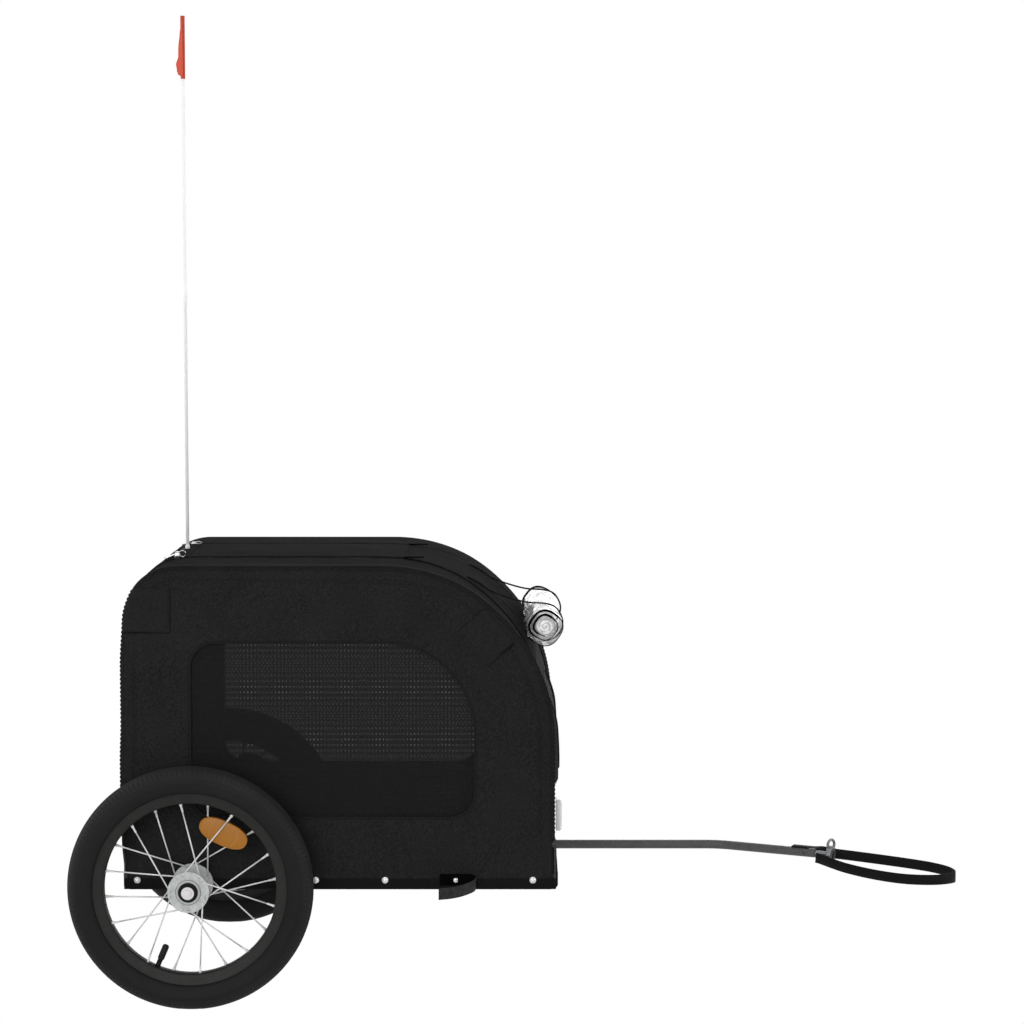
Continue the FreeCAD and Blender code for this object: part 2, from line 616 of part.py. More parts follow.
def panel_parts(name):
    """The side's fabric panel, with its window, and the net that closes the window from inside."""
    side = SIDES[name]
    radii = (WINDOW_RADIUS, WINDOW_RADIUS, WINDOW_FRONT_RADIUS, WINDOW_RADIUS)
    panel = outline_solid(PANEL_INSET, HINGE_Z[name] + DOOR_GAP, PANEL_IN, PANEL_IN + PANEL)
    window = rounded_box_wire(WINDOW_X0, WINDOW_X1, WINDOW_Z0, WINDOW_Z1, radii, PANEL_IN)
    panel = panel.cut(plate(window, V(0, PANEL, 0)))
    outer = rounded_box_wire(WINDOW_X0 - NET_LAP, WINDOW_X1 + NET_LAP, WINDOW_Z0 - NET_LAP,
                             WINDOW_Z1 + NET_LAP, [r + NET_LAP for r in radii], PANEL_IN - NET)
    holes = []
    hole = NET_PITCH - NET_CORD
    columns = int((WINDOW_X1 - WINDOW_X0) / NET_PITCH)
    rows = int((WINDOW_Z1 - WINDOW_Z0) / NET_PITCH)
    first_x = (WINDOW_X0 + WINDOW_X1 - columns * NET_PITCH + NET_CORD) / 2
    first_z = (WINDOW_Z0 + WINDOW_Z1 - rows * NET_PITCH + NET_CORD) / 2
    bend = V(WINDOW_X1 - WINDOW_FRONT_RADIUS, 0, WINDOW_Z1 - WINDOW_FRONT_RADIUS)
    for column in range(columns):
        for row in range(rows):
            x, z = first_x + column * NET_PITCH, first_z + row * NET_PITCH
            far = V(x + hole - bend.x, 0, z + hole - bend.z)
            if far.x > 0 and far.z > 0 and far.Length > WINDOW_FRONT_RADIUS:
                continue
            corners = [(x, z), (x + hole, z), (x + hole, z + hole), (x, z + hole), (x, z)]
            holes.append(polyline([(a, PANEL_IN - NET, b) for a, b in corners]))
    net = Part.Face([outer] + holes, "Part::FaceMakerBullseye").extrude(V(0, NET - MICRO / 3, 0))
    parts = {name + "_panel": panel, name + "_window_net": net}
    if side < 0:
        parts = {node: mirrored_y(shape) for node, shape in parts.items()}
    return parts, len(holes)


def cover_parts():
    """The sewn cover over roof, front and rear, with its flap and doors cut from the same sheet."""
    sheet = outline_solid(0, BOTTOM_Z, -COVER_HALF, COVER_HALF)
    sheet = sheet.cut(outline_solid(COVER, BOTTOM_Z, -COVER_HALF, COVER_HALF))
    rear_top = ROOF_Z - REAR_RADIUS
    wide = 2 * CABIN_HALF
    far = 2 * FRONT_X
    rear = sheet.common(box(REAR_X - COVER, 0, -wide, wide, 0, rear_top))
    seam = FRONT_X - ROOF_FRONT
    front = sheet.common(box(seam, far, -wide, wide, 0, far))
    roof = sheet.common(box(REAR_X - COVER, seam, -wide, wide, rear_top, far))
    hinge = on_front(FRONT_DOOR_ANGLE, FRONT_RADIUS)
    flap_box = (FLAP_X0, FLAP_X1, -FLAP_HALF, FLAP_HALF, rear_top, far)
    front_box = (FRONT_CENTRE.x, far, -DOOR_HALF, DOOR_HALF, DOOR_Z0, hinge.z)
    rear_box = (REAR_X - COVER, REAR_X + 2 * COVER, -DOOR_HALF, DOOR_HALF, DOOR_Z0,
                rear_top - REAR_DOOR_DROP)
    parts = {}
    gap = DOOR_GAP
    for cover, flap, piece, (x0, x1, y0, y1, z0, z1) in (
            ("roof_cover", "roof_flap", roof, flap_box), ("front_cover", "front_door", front, front_box),
            ("rear_cover", "rear_door", rear, rear_box)):
        parts[cover] = piece.cut(box(x0, x1, y0, y1, z0, z1))
        parts[flap] = piece.common(box(x0 + gap, x1 - gap, y0 + gap, y1 - gap, z0 + gap, z1 - gap))
    sleeve = rod(V(FLAG_X, FLAG_Y, ROOF_Z - SOCKET_BELOW), Z_AXIS,
                 POLE_R + SLIDE_FIT + SOCKET_WALL + PIN_FIT, SOCKET_BELOW + SOCKET_ABOVE)
    parts["roof_cover"] = parts["roof_cover"].cut(sleeve)
    return parts


def edge_parts():
    """Skirts below the side hinges, their snap heads, the tie strap and the front reflectors."""
    skirts = []
    snaps = []
    snap_places = [REAR_X + x for x in SNAPS_FROM_REAR] + [FRONT_X - x for x in SNAPS_FROM_FRONT]
    for name, side in SIDES.items():
        skirt = box(REAR_X + PANEL_INSET, FRONT_X - PANEL_INSET, PANEL_IN, SKIRT_OUT,
                    BOTTOM_Z, HINGE_Z[name] - DOOR_GAP)
        skirt = skirt.cut(rod(V(0, PANEL_IN, AXLE_Z), Y_AXIS, BOSS_R + MICRO, SKIRT))
        skirts.append(skirt if side > 0 else mirrored_y(skirt))
        for x in snap_places:
            snap = Part.makeCone(SNAP_R, SNAP_R / 2, SNAP_PROUD, V(x, SKIRT_OUT, SNAP_Z), Y_AXIS)
            snaps.append(snap if side > 0 else mirrored_y(snap))
    back = -SKIRT_OUT - SNAP_PROUD - MICRO - TIE_THICK / 2
    fold_x = FRONT_X - TIE_FRONT
    rear_x = fold_x - TIE_LENGTH
    path = bent_path([V(rear_x, back, SNAP_Z), V(fold_x, back, SNAP_Z),
                      V(fold_x, back - TIE_FOLD, SNAP_Z), V(rear_x, back - TIE_REACH, SNAP_Z)],
                     [TIE_BEND_R, TIE_BEND_R])
    low, high = BOTTOM_Z, BOTTOM_Z + TIE_WIDTH
    near, far = back - TIE_THICK / 2, back + TIE_THICK / 2
    corners = ((near, low), (far, low), (far, high), (near, high), (near, low))
    band = polyline([(rear_x, y, z) for y, z in corners])
    depth, width, tall = FRONT_REFLECTOR
    lens_x = FRONT_X + MICRO
    lens_z = BOTTOM_Z + FRONT_REFLECTOR_RISE
    lenses = []
    for side in SIDES.values():
        lens_y = side * (DOOR_HALF + FRONT_REFLECTOR_OUT)
        lenses.append(box(lens_x, lens_x + depth, lens_y - width / 2, lens_y + width / 2,
                          lens_z - tall / 2, lens_z + tall / 2))
    return {"side_skirts": Part.makeCompound(skirts), "snap_heads": Part.makeCompound(snaps),
            "tie_strap": swept(path, band), "front_reflectors": Part.makeCompound(lenses)}


def roll_parts():
    """The rain cover rolled up across the front, and the two elastic ties that hold it."""
    centre = on_front(ROLL_ANGLE, FRONT_RADIUS + ROLL_OUTER_R + ROLL_GAP)
    step = (ROLL_OUTER_R - ROLL_SHEET / 2 - ROLL_CORE_R) / (ROLL_HALF_TURNS - 1)
    outer = []
    inner = []
    for index in range(ROLL_HALF_TURNS):
        way = 1 if index % 2 == 0 else -1
        middle = centre + V(0 if way > 0 else step, -DOOR_HALF, 0)
        radius = ROLL_CORE_R + index * step
        for edges, r in ((outer, radius + ROLL_SHEET / 2), (inner, radius - ROLL_SHEET / 2)):
            edges.append(Part.Arc(middle + V(way * r, 0, 0), middle + V(0, 0, way * r),
                                  middle + V(-way * r, 0, 0)).toShape())
    caps = [Part.LineSegment(inner[0].valueAt(inner[0].FirstParameter),
                             outer[0].valueAt(outer[0].FirstParameter)).toShape(),
            Part.LineSegment(inner[-1].valueAt(inner[-1].LastParameter),
                             outer[-1].valueAt(outer[-1].LastParameter)).toShape()]
    spiral = Part.Wire(Part.sortEdges(outer + inner + caps)[0])
    roll = plate(spiral, V(0, 2 * DOOR_HALF, 0))
    print("rain cover: gap between turns %.2f mm" % (2 * step - ROLL_SHEET))

    ties = []
    wrap = ROLL_OUTER_R + step + TIE_CORD_R + MICRO
    for side in SIDES.values():
        hub = V(centre.x, side * TIE_CORD_Y, centre.z)
        top = on_front(TIE_CORD_TOP_ANGLE, FRONT_RADIUS + TIE_CORD_R + MICRO, hub.y)
        low = on_front(TIE_CORD_BOTTOM_ANGLE, FRONT_RADIUS + TIE_CORD_R + MICRO, hub.y)
        upper = tangent_point(hub, wrap, top, 1)
        lower = tangent_point(hub, wrap, low, -1)
        front = hub + ((upper - hub) + (lower - hub)).normalize() * wrap
        if (front - hub).dot(X_AXIS) < 0:
            front = hub * 2 - front
        path = [Part.LineSegment(top, upper).toShape(), Part.Arc(upper, front, lower).toShape(),
                Part.LineSegment(lower, low).toShape()]
        ties.append(swept(path, round_section(top, upper - top, TIE_CORD_R)))
    return {"rain_cover_roll": roll, "rain_cover_ties": Part.makeCompound(ties)}


def tangent_point(centre, radius, point, way):
    """Where a line from a point meets a circle that lies in a plane of constant y."""
    to_point = point - centre
    turn = way * math.acos(radius / to_point.Length)
    angle = math.atan2(to_point.z, to_point.x) - turn
    return centre + V(math.cos(angle) * radius, 0, math.sin(angle) * radius)


def zip_slider(side):
    long, wide, tall = ZIP_BODY
    tab_long, tab_wide, tab_tall = ZIP_TAB
    y = FLAP_HALF + ZIP_OFFSET
    rear = FLAP_X0 - ZIP_BACK
    base = ROOF_Z + MICRO
    body = box(rear, rear + long, y - wide / 2, y + wide / 2, base, base + tall)
    tab = box(rear - tab_long, rear + long / 2, y - tab_wide / 2, y + tab_wide / 2,
              base + tall, base + tall + tab_tall)
    slider = fused([body, tab])
    return slider if side > 0 else mirrored_y(slider)


def drawbar_parts():
    toe = math.radians(DRAWBAR_TOE_ANGLE)
    ahead = V(math.cos(toe), -math.sin(toe), 0)
    lateral = V(math.sin(toe), math.cos(toe), 0)
    rear = V(CROSS_X - DRAWBAR_TAIL, DRAWBAR_Y, DRAWBAR_Z)
    corner = V(FRONT_X + DRAWBAR_REACH, DRAWBAR_Y, DRAWBAR_Z)
    tip = corner + ahead * DRAWBAR_TIP
    path = bent_path([rear, corner, tip], [DRAWBAR_BEND_R])
    bar = tube_along(path, DRAWBAR_R, DRAWBAR_WALL)
    plug_length = STRAP_ANCHOR + BOLT_R + DRAWBAR_PLUG
    plug = rod(tip - ahead * plug_length, ahead, DRAWBAR_R - DRAWBAR_WALL, plug_length)
    bar = fused([bar, plug])
    bar = bar.cut(rod(tip - ahead * (STEM_IN + MICRO), ahead, STEM_R + PIN_FIT, STEM_IN + MICRO))
    anchor = tip - ahead * STRAP_ANCHOR
    grip = DRAWBAR_R + MICRO + STRAP
    bolt = rod(anchor - lateral * grip, lateral, BOLT_R, 2 * grip)
    heads = [rod(anchor + lateral * (way * grip), lateral * way, BOLT_HEAD_R, BOLT_HEAD) for way in (-1, 1)]
    hole = rod(anchor - lateral * 2 * grip, lateral, BOLT_R + PIN_FIT, 4 * grip)
    bar = bar.cut(hole)

    stem = rod(tip - ahead * STEM_IN, ahead, STEM_R, STEM_IN + STEM_OUT)
    cup = rod(tip + ahead * STEM_OUT, ahead, SOCKET_R, SOCKET_LENGTH)
    rims = [edge for edge in cup.Edges if edge.Length > 6 * SOCKET_R]
    cup = cup.makeFillet(SOCKET_LENGTH / 5, rims)
    hitch = fused([stem, cup])
    mouth = tip + ahead * (STEM_OUT + SOCKET_LENGTH - SOCKET_DEPTH)
    hitch = hitch.cut(rod(mouth, ahead, SOCKET_BORE_R, SOCKET_DEPTH))

    leg = DRAWBAR_R + MICRO + STRAP / 2
    end_u = STRAP_LENGTH - STRAP_HALF
    flat = [(-STRAP_ANCHOR - STRAP_TAIL, leg), (-STRAP_ANCHOR / 2, leg),
            (STEM_OUT, SOCKET_R + 3 * STRAP), (end_u / 2, STRAP_HALF - STRAP_SWELL), (end_u, STRAP_HALF)]
    near = [tip + ahead * u + lateral * v for u, v in flat]
    far = [tip + ahead * u - lateral * v for u, v in reversed(flat)]
    bow_a = tip + ahead * STRAP_LENGTH + lateral * STRAP_HALF
    bow_b = tip + ahead * STRAP_LENGTH - lateral * STRAP_HALF
    path = bent_path(near + [bow_a, bow_b] + far, STRAP_BENDS + STRAP_BENDS[::-1])
    start = near[0]
    rect = [start + lateral * (a * STRAP / 2) + Z_AXIS * (b * STRAP_WIDTH / 2)
            for a, b in ((-1, -1), (1, -1), (1, 1), (-1, 1), (-1, -1))]
    strap = swept(path, Part.makePolygon(rect))
    strap.rotate(anchor, lateral, STRAP_DROOP_ANGLE)
    strap = strap.cut(hole)

    clamps = []
    front_x = FRONT_X - COVER - MICRO - RAIL / 2
    wall = DRAWBAR_R + CLAMP_WALL
    for x in (CROSS_X, front_x):
        block = box(x - CLAMP / 2, x + CLAMP / 2, DRAWBAR_Y - wall, DRAWBAR_Y + wall,
                    DRAWBAR_Z - wall, BOTTOM_Z)
        block = block.cut(rod(V(x - CLAMP, DRAWBAR_Y, DRAWBAR_Z), X_AXIS, DRAWBAR_R + SLIDE_FIT, 2 * CLAMP))
        clamps.append(block)
    stud_in = DRAWBAR_Y + DRAWBAR_R + MICRO
    clamps[1] = clamps[1].cut(rod(V(front_x, DRAWBAR_Y, DRAWBAR_Z), Y_AXIS, KNOB_STUD_R + PIN_FIT, 2 * wall))
    stud = rod(V(front_x, stud_in, DRAWBAR_Z), Y_AXIS, KNOB_STUD_R, wall - DRAWBAR_R + KNOB / 2)
    grip_y = DRAWBAR_Y + wall + MICRO
    notch_at = KNOB_R + KNOB_NOTCH_OUT
    grip_disc = rod(V(front_x, grip_y, DRAWBAR_Z), Y_AXIS, KNOB_R, KNOB)
    for index in range(KNOB_LOBES):
        turn = 2 * math.pi * index / KNOB_LOBES
        notch = V(front_x + math.cos(turn) * notch_at, grip_y, DRAWBAR_Z + math.sin(turn) * notch_at)
        grip_disc = grip_disc.cut(rod(notch, Y_AXIS, KNOB_NOTCH_R, KNOB))
    return {"drawbar_tube": bar, "hitch_socket": hitch, "safety_strap": strap,
            "strap_bolt": fused([bolt] + heads), "drawbar_clamps": Part.makeCompound(clamps),
            "clamp_knob": fused([stud, grip_disc])}


def flag_parts():
    outer = POLE_R + SLIDE_FIT + SOCKET_WALL
    foot_z = ROOF_Z - SOCKET_BELOW
    bore_z = foot_z + SOCKET_WALL
    depth = ROOF_Z + SOCKET_ABOVE - bore_z
    socket = rod(V(FLAG_X, FLAG_Y, foot_z), Z_AXIS, outer, depth + SOCKET_WALL)
    socket = socket.cut(rod(V(FLAG_X, FLAG_Y, bore_z), Z_AXIS, POLE_R + SLIDE_FIT, depth))
    pole = rod(V(FLAG_X, FLAG_Y, bore_z), Z_AXIS, POLE_R, POLE_TOP - bore_z)
    top = [edge for edge in pole.Edges if edge.BoundBox.ZMin > POLE_TOP - POLE_ROUND]
    pole = pole.makeFillet(POLE_ROUND, top)
    hem = FLAG_Y - POLE_R - MICRO
    high = POLE_TOP - PENNANT_DROP
    low = high - PENNANT_HOIST
    blade = polyline([(FLAG_X - PENNANT / 2, y, z) for y, z in
                      ((hem, low), (hem, high), (hem - PENNANT_FLY, low + PENNANT_END),
                       (hem - PENNANT_FLY, low), (hem, low))])
    return {"flag_socket": socket, "flag_pole": pole, "pennant": plate(blade, V(PENNANT, 0, 0))}


def build():
    parts = floor_parts()
    parts["axle_pins"] = axle_pins()
    parts.update(hinge_parts())
    parts.update(cover_parts())
    parts.update(edge_parts())
    parts.update(roll_parts())
    parts.update(drawbar_parts())
    parts.update(flag_parts())
    for name, side in SIDES.items():
        parts[name + "_release_button"] = release_button(side)
        parts[name + "_zip_slider"] = zip_slider(side)
        parts.update(wheel_parts(name))
        parts.update(hoop_parts(name))
        panels, gaps = panel_parts(name)
        parts.update(panels)
        print("%s window net: %d gaps" % (name, gaps))
    return parts


def main():
    os.makedirs("parts", exist_ok=True)
    for node, shape in sorted(build().items()):
        shape.exportStep("parts/%s.step" % node)
        print("%-24s %2d solids %10.1f cm3 valid %s" % (
            node, len(shape.Solids), shape.Volume / 1000, shape.isValid()))


main()
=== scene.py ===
"""The looks of a dog bike trailer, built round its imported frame.

Metres, in the frame's axes: +X forward, +Y the trailer's left, +Z up, origin on the ground under the axle.
Profiles and routes that are lists of plain numbers are in millimetres.
"""
import json
import math

import bpy
import numpy as np
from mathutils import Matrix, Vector, noise


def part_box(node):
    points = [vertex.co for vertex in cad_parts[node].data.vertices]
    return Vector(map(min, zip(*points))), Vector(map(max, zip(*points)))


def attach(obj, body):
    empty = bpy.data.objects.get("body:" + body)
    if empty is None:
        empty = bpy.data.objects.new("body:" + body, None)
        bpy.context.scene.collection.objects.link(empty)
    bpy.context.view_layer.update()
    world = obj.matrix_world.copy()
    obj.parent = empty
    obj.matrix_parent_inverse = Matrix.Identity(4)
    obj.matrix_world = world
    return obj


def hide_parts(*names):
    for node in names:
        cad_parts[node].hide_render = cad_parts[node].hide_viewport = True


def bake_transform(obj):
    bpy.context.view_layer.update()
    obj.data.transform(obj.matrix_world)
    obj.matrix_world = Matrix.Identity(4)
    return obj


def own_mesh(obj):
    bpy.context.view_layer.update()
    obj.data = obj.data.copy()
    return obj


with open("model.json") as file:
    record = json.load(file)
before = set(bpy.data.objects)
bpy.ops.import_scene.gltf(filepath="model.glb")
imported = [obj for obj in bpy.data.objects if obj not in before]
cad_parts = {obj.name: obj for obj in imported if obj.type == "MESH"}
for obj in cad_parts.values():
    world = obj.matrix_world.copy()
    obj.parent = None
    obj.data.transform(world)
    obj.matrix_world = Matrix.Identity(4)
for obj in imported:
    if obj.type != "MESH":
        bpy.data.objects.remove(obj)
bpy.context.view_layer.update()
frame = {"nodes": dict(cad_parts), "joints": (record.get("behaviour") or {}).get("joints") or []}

MM = 0.001
FULL_TURN = 2 * math.pi
SIDES = {"right": -1, "left": 1}


def low(node):
    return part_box(node)[0]


def high(node):
    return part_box(node)[1]


def middle(node):
    return (np.array(low(node)) + np.array(high(node))) / 2


# Cabin sizes, read from the frame where it has them
REAR_X = low("rear_cover").x
FRONT_X = high("front_cover").x
BOTTOM_Z = low("front_cover").z
ROOF_Z = high("roof_cover").z
REAR_R = ROOF_Z - low("roof_cover").z
FRONT_R = 290 * MM
REAR_C = (REAR_X + REAR_R, ROOF_Z - REAR_R)
FRONT_C = (FRONT_X - FRONT_R, ROOF_Z - FRONT_R)
CABIN_MIDDLE = (0.24, 0, 0.4)
PANEL_Y = high("left_panel").y
HINGE_Z = {"right": 262 * MM, "left": 235 * MM}
COVER_HALF = high("roof_cover").y
FLAP_X0 = low("roof_flap").x
FLAP_X1 = high("roof_flap").x
FLAP_HALF = high("roof_flap").y
DOOR_HALF = high("front_door").y
DOOR_Z0 = low("front_door").z
REAR_DOOR_Z1 = high("rear_door").z
FRONT_DOOR_Z1 = high("front_door").z
NET_LAP = 10 * MM
WINDOW_X0 = low("left_window_net").x + NET_LAP
WINDOW_X1 = high("left_window_net").x - NET_LAP
WINDOW_Z0 = low("left_window_net").z + NET_LAP
WINDOW_Z1 = high("left_window_net").z - NET_LAP
WINDOW_C = np.array([(WINDOW_X0 + WINDOW_X1) / 2, (WINDOW_Z0 + WINDOW_Z1) / 2])
WINDOW_RADII = (40 * MM, 40 * MM, 150 * MM, 40 * MM)

# Side cloth
EDGE_ROLL = 13 * MM        # radius of the cloth where it turns over the hoop on to the covers
EDGE_FLAT = 1.5 * MM       # radius of its turn along the floor
EDGE_OUT = 1 * MM          # the turned edge lies this far over the covers
EDGE_HEM = 9 * MM
RIM_POINTS = (70, 26, 50, 70, 40)    # points along each stretch of the outline
BOTTOM_POINTS = 90
SEAM_IN = 12 * MM          # from the turn to the stitched seam
SEAM_STEPS = (0, 4 * MM, 8 * MM, 10.6 * MM, SEAM_IN, 13.4 * MM, 16 * MM, 20 * MM)
SIDE_CLOTH = 1.2 * MM
SIDE_PUFF = 1.6 * MM
SIDE_FOLDS = ((70 * MM, 1.4 * MM), (22 * MM, 0.5 * MM))   # size and height of the wide and the narrow folds
SEAM_DEEP = 0.8 * MM
SEAM_WIDE = 1.4 * MM
SEAM_ROW = 2.2 * MM        # each row of stitches is this far from the seam
EDGE_STITCH = (7 * MM, 4.6 * MM, 1.3 * MM)                # pitch, length and radius
EDGE_STITCH_TURN = 78      # degrees round the turned edge
WINDOW_LIP = 2.5 * MM
STITCH_START = 14 * MM     # above the hinge
WINDOW_LAP = 7 * MM        # the net reaches this far behind the cloth
PATCH_REAR = (-34.3 * MM, 617 * MM, 691.5 * MM)    # its front edge, and its low and high ends
PATCH_FRONT = (486 * MM, 609 * MM)                 # its middle
PATCH_SIZE = (76 * MM, 58 * MM)
PATCH_TURN = math.radians(-49)
PATCH_RISE = 1.6 * MM
PATCH_CLOTH = 1.5 * MM
# Radius of the near-black tubes that paint the shade along the patches' edges
PATCH_SHADE_R = 0.9 * MM
# The hem strip, by its rise and how far it stands out, and a snap's head, by radius and depth
HEM_PROFILE = ((-1.5, 0.4), (0, 1.6), (2, 2.0), (14.5, 2.0), (16.1, 1.7), (16.5, 0.6))
SNAP_PROFILE = ((0, 3.0), (1.8, 2.8), (3.2, 2.2), (4.0, 1.2), (4.3, 0.9), (5.2, 0.8), (5.5, 0.2),
                (5.5, -1.5))
SNAP_X = (-93 * MM, 203 * MM, 318 * MM, 435 * MM, 563 * MM)
SNAP_Z = 204 * MM

# Covers: how far their outline leaves its straight lines, and the heights where that grows and fades
REAR_TUCK = 5 * MM         # drawn in at the floor
LOW_EDGE = 80 * MM
REAR_BELLY = 2 * MM        # standing out above that
BELLY_Z = (360 * MM, 400 * MM, 470 * MM)
REAR_SHOULDER = 4 * MM     # drawn in again below the roof
SHOULDER_Z = (560 * MM, 645 * MM, 665 * MM, 712 * MM)
FRONT_IN = 5.5 * MM        # the front draws in to the hoop below its curve, and less at the floor
FRONT_FOOT_IN = 3 * MM
FRONT_IN_Z = (640 * MM, 722 * MM)
FRONT_SAG = 8 * MM         # hollow of the cover between the hoops, on the front's curve
SAG_Z = (660 * MM, 560 * MM, 505 * MM, 440 * MM)
FRONT_SWELL = 7.5 * MM     # how far the front door's net panel stands out
SWELL_Z = (535 * MM, 385 * MM, 352 * MM, 341 * MM)
SWELL_EDGE = 0.13          # share of the door's width over which it swells
DOOR_PUFF = 2 * MM         # swell of the doors and the roof flap
COVER_CLOTH = 1.6 * MM
COVER_STEP = 8 * MM
COVER_UNEVEN = (90 * MM, 1.6 * MM)   # size and height

# Doors and zips
DOOR_BORDER = 46 * MM      # width of the cloth at the sides of a door's net
DOOR_FIRST_BORDER = 48 * MM   # at the front door's top and the rear door's sill
REAR_TOP_BORDER = 52 * MM
FRONT_NET_Z = 366 * MM     # low edge of the front door's net
DOOR_NET_R = 34 * MM
DOOR_NET_LAP = 6 * MM
DOOR_HEM = 6 * MM
DOOR_R = 2 * MM
ZIP_GAP = 3 * MM
ZIP_WAVES = ((1.6 * MM, 0.085, 0), (1.1 * MM, 0.21, 1))   # height, length and phase, along the roof
ZIP_LIFT = -1.4 * MM       # the tapes lie below the cloth's face
ZIP_TAPE = (15 * MM, 0.4 * MM)
TOOTH = (1.7 * MM, 2.6 * MM, 1.6 * MM)
TOOTH_PITCH = 3 * MM
OPEN_ZIPS = ((294 * MM, 339 * MM), (224 * MM, 250 * MM))  # where the roof zip's teeth show, along x
ZIP_STOP_X = 362 * MM
ZIP_STOP = (34 * MM, 9 * MM, 2.4 * MM)

# Nets: ribbons with small holes between them
NET_PITCH = (6.4 * MM, 9.8 * MM)
NET_RIBBON = (4.4 * MM, 7.2 * MM)
RIBBON_CLOSED = 0.93       # share of the light that a ribbon stops, and that the threads in a hole stop
HOLE_CLOSED = 0.67
DOOR_RIBBON_CLOSED = 0.8   # the ribbons of the doors' nets stop less
NET_Y = 263.6 * MM

# How the cloth at its foot stands clear of the cross tubes, fading out a little above their top.
FOLD_FLOOR = high("cross_tubes").z
FOOT = FOLD_FLOOR - BOTTOM_Z
FOOT_HALF = high("cross_tubes").y
FOOT_CLEAR = 1.8 * MM      # from the cross tubes to the face of the cloth in front of them
FOOT_FADE = (FOLD_FLOOR + 2 * MM, FOLD_FLOOR + 30 * MM)
FOOT_REAR_X = low("cross_tubes").x - FOOT_CLEAR
FOOT_FRONT_X = high("cross_tubes").x + FOOT_CLEAR


# Shapes: each is an array of points and a list of faces


def points_at(x, y, z):
    """Points from three coordinates, each an array or one number for all."""
    return np.stack(np.broadcast_arrays(x, y, z), -1)


def full_turn(count):
    return np.linspace(0, FULL_TURN, count, endpoint=False)


def grid_shape(rows, wrap_rows=False, wrap_cols=False):
    """Quads over rows of points."""
    points = np.asarray(rows)
    count, cols = points.shape[:2]
    faces = []
    for r in range(count if wrap_rows else count - 1):
        for c in range(cols if wrap_cols else cols - 1):
            r2, c2 = (r + 1) % count, (c + 1) % cols
            faces.append((r * cols + c, r * cols + c2, r2 * cols + c2, r2 * cols + c))
    return points.reshape(-1, 3), faces


def ring_shape(rings, closed=False):
    """Quads over rows of points, each row a closed ring."""
    return grid_shape(rings, closed, True)


def faced(shape, side):
    """A shape with its faces turned round on the trailer's right."""
    points, faces = shape
    return points, [face[::-1] for face in faces] if side < 0 else faces


def joined(shapes):
    points, faces, start = [], [], 0
    for shape_points, shape_faces in shapes:
        points.append(np.asarray(shape_points, float))
        faces += [tuple(i + start for i in face) for face in shape_faces]
        start += len(shape_points)
    return np.vstack(points), faces


def unit(vectors):
    vectors = np.asarray(vectors, float)
    return vectors / np.maximum(np.linalg.norm(vectors, axis=-1, keepdims=True), 1e-12)


def smooth_path(points, steps=8):
    """A smooth line through points, with steps between each two."""
    p = np.asarray(points, float)
    p = np.vstack([2 * p[0] - p[1], p, 2 * p[-1] - p[-2]])
    out = []
    for a, b, c, d in zip(p, p[1:], p[2:], p[3:]):
        for t in np.arange(steps) / steps:
            out.append(0.5 * (2 * b + (c - a) * t + (2 * a - 5 * b + 4 * c - d) * t ** 2
                              + (3 * b - a - 3 * c + d) * t ** 3))
    return np.array(out + [p[-2]])


def tangents(path, closed=False):
    if closed:
        return unit(np.roll(path, -1, 0) - np.roll(path, 1, 0))
    return unit(np.gradient(path, axis=0))


def tube_shape(path, radius, sides=8, closed=False):
    """A round tube along a path, closed at its ends. The radius is one number or one for each point."""
    path = np.asarray(path, float)
    along = tangents(path, closed)
    across = np.cross(along[0], (0.31, 0.57, 0.76))
    turn = full_turn(sides)[:, None]
    rings = []
    for point, way, r in zip(path, along, np.broadcast_to(radius, len(path))):
        across = unit(across - way * across.dot(way))
        third = np.cross(way, across)
        rings.append(point + r * (np.cos(turn) * across + np.sin(turn) * third))
    points, faces = ring_shape(rings, closed)
    if not closed:
        last = len(points) - sides
        faces += [tuple(range(sides))[::-1], tuple(range(last, last + sides))]
    return points, faces


def ribbon_shape(path, across, width, thick):
    """A flat band along a path. Across is the direction of its width, one or one for each point."""
    path = np.asarray(path, float)
    along = tangents(path)
    across = np.broadcast_to(np.asarray(across, float), path.shape)
    across = unit(across - along * (across * along).sum(1, keepdims=True))
    face = np.cross(along, across)
    corners = ((-1, -1), (-1, 1), (1, 1), (1, -1))
    rows = [path + across * (a * width / 2) + face * (b * thick / 2) for a, b in corners]
    points, faces = ring_shape(np.array(rows).transpose(1, 0, 2))
    last = len(points) - 4
    return points, faces + [(3, 2, 1, 0), (last, last + 1, last + 2, last + 3)]


def lathe_shape(profile, centre, segments, side, closed=False):
    """A profile of radii and depths turned about a line along Y through a centre."""
    turn = full_turn(segments)
    rings = [points_at(centre[0] + radius * np.cos(turn), centre[1] + side * depth,
                       centre[2] + radius * np.sin(turn)) for radius, depth in profile]
    return faced(ring_shape(rings, closed), side)


def box_shape(centre, axes, size):
    """A box with its own axes."""
    corners = np.array([(a, b, c) for a in (-1, 1) for b in (-1, 1) for c in (-1, 1)], float) / 2
    points = np.asarray(centre, float) + (corners * np.asarray(size)) @ np.asarray(axes, float)
    return points, [(0, 1, 3, 2), (4, 6, 7, 5), (0, 4, 5, 1), (2, 3, 7, 6), (0, 2, 6, 4), (1, 5, 7, 3)]


def spaced(path, pitch):
    """Points and directions at a steady pitch along a path."""
    path = np.asarray(path, float)
    runs = np.linalg.norm(np.diff(path, axis=0), axis=1)
    length = np.concatenate([[0], np.cumsum(runs)])
    count = max(2, int(length[-1] / pitch))
    where = (np.arange(count) + 0.5) * length[-1] / count
    points = np.stack([np.interp(where, length, path[:, k]) for k in range(3)], 1)
    return points, tangents(points)


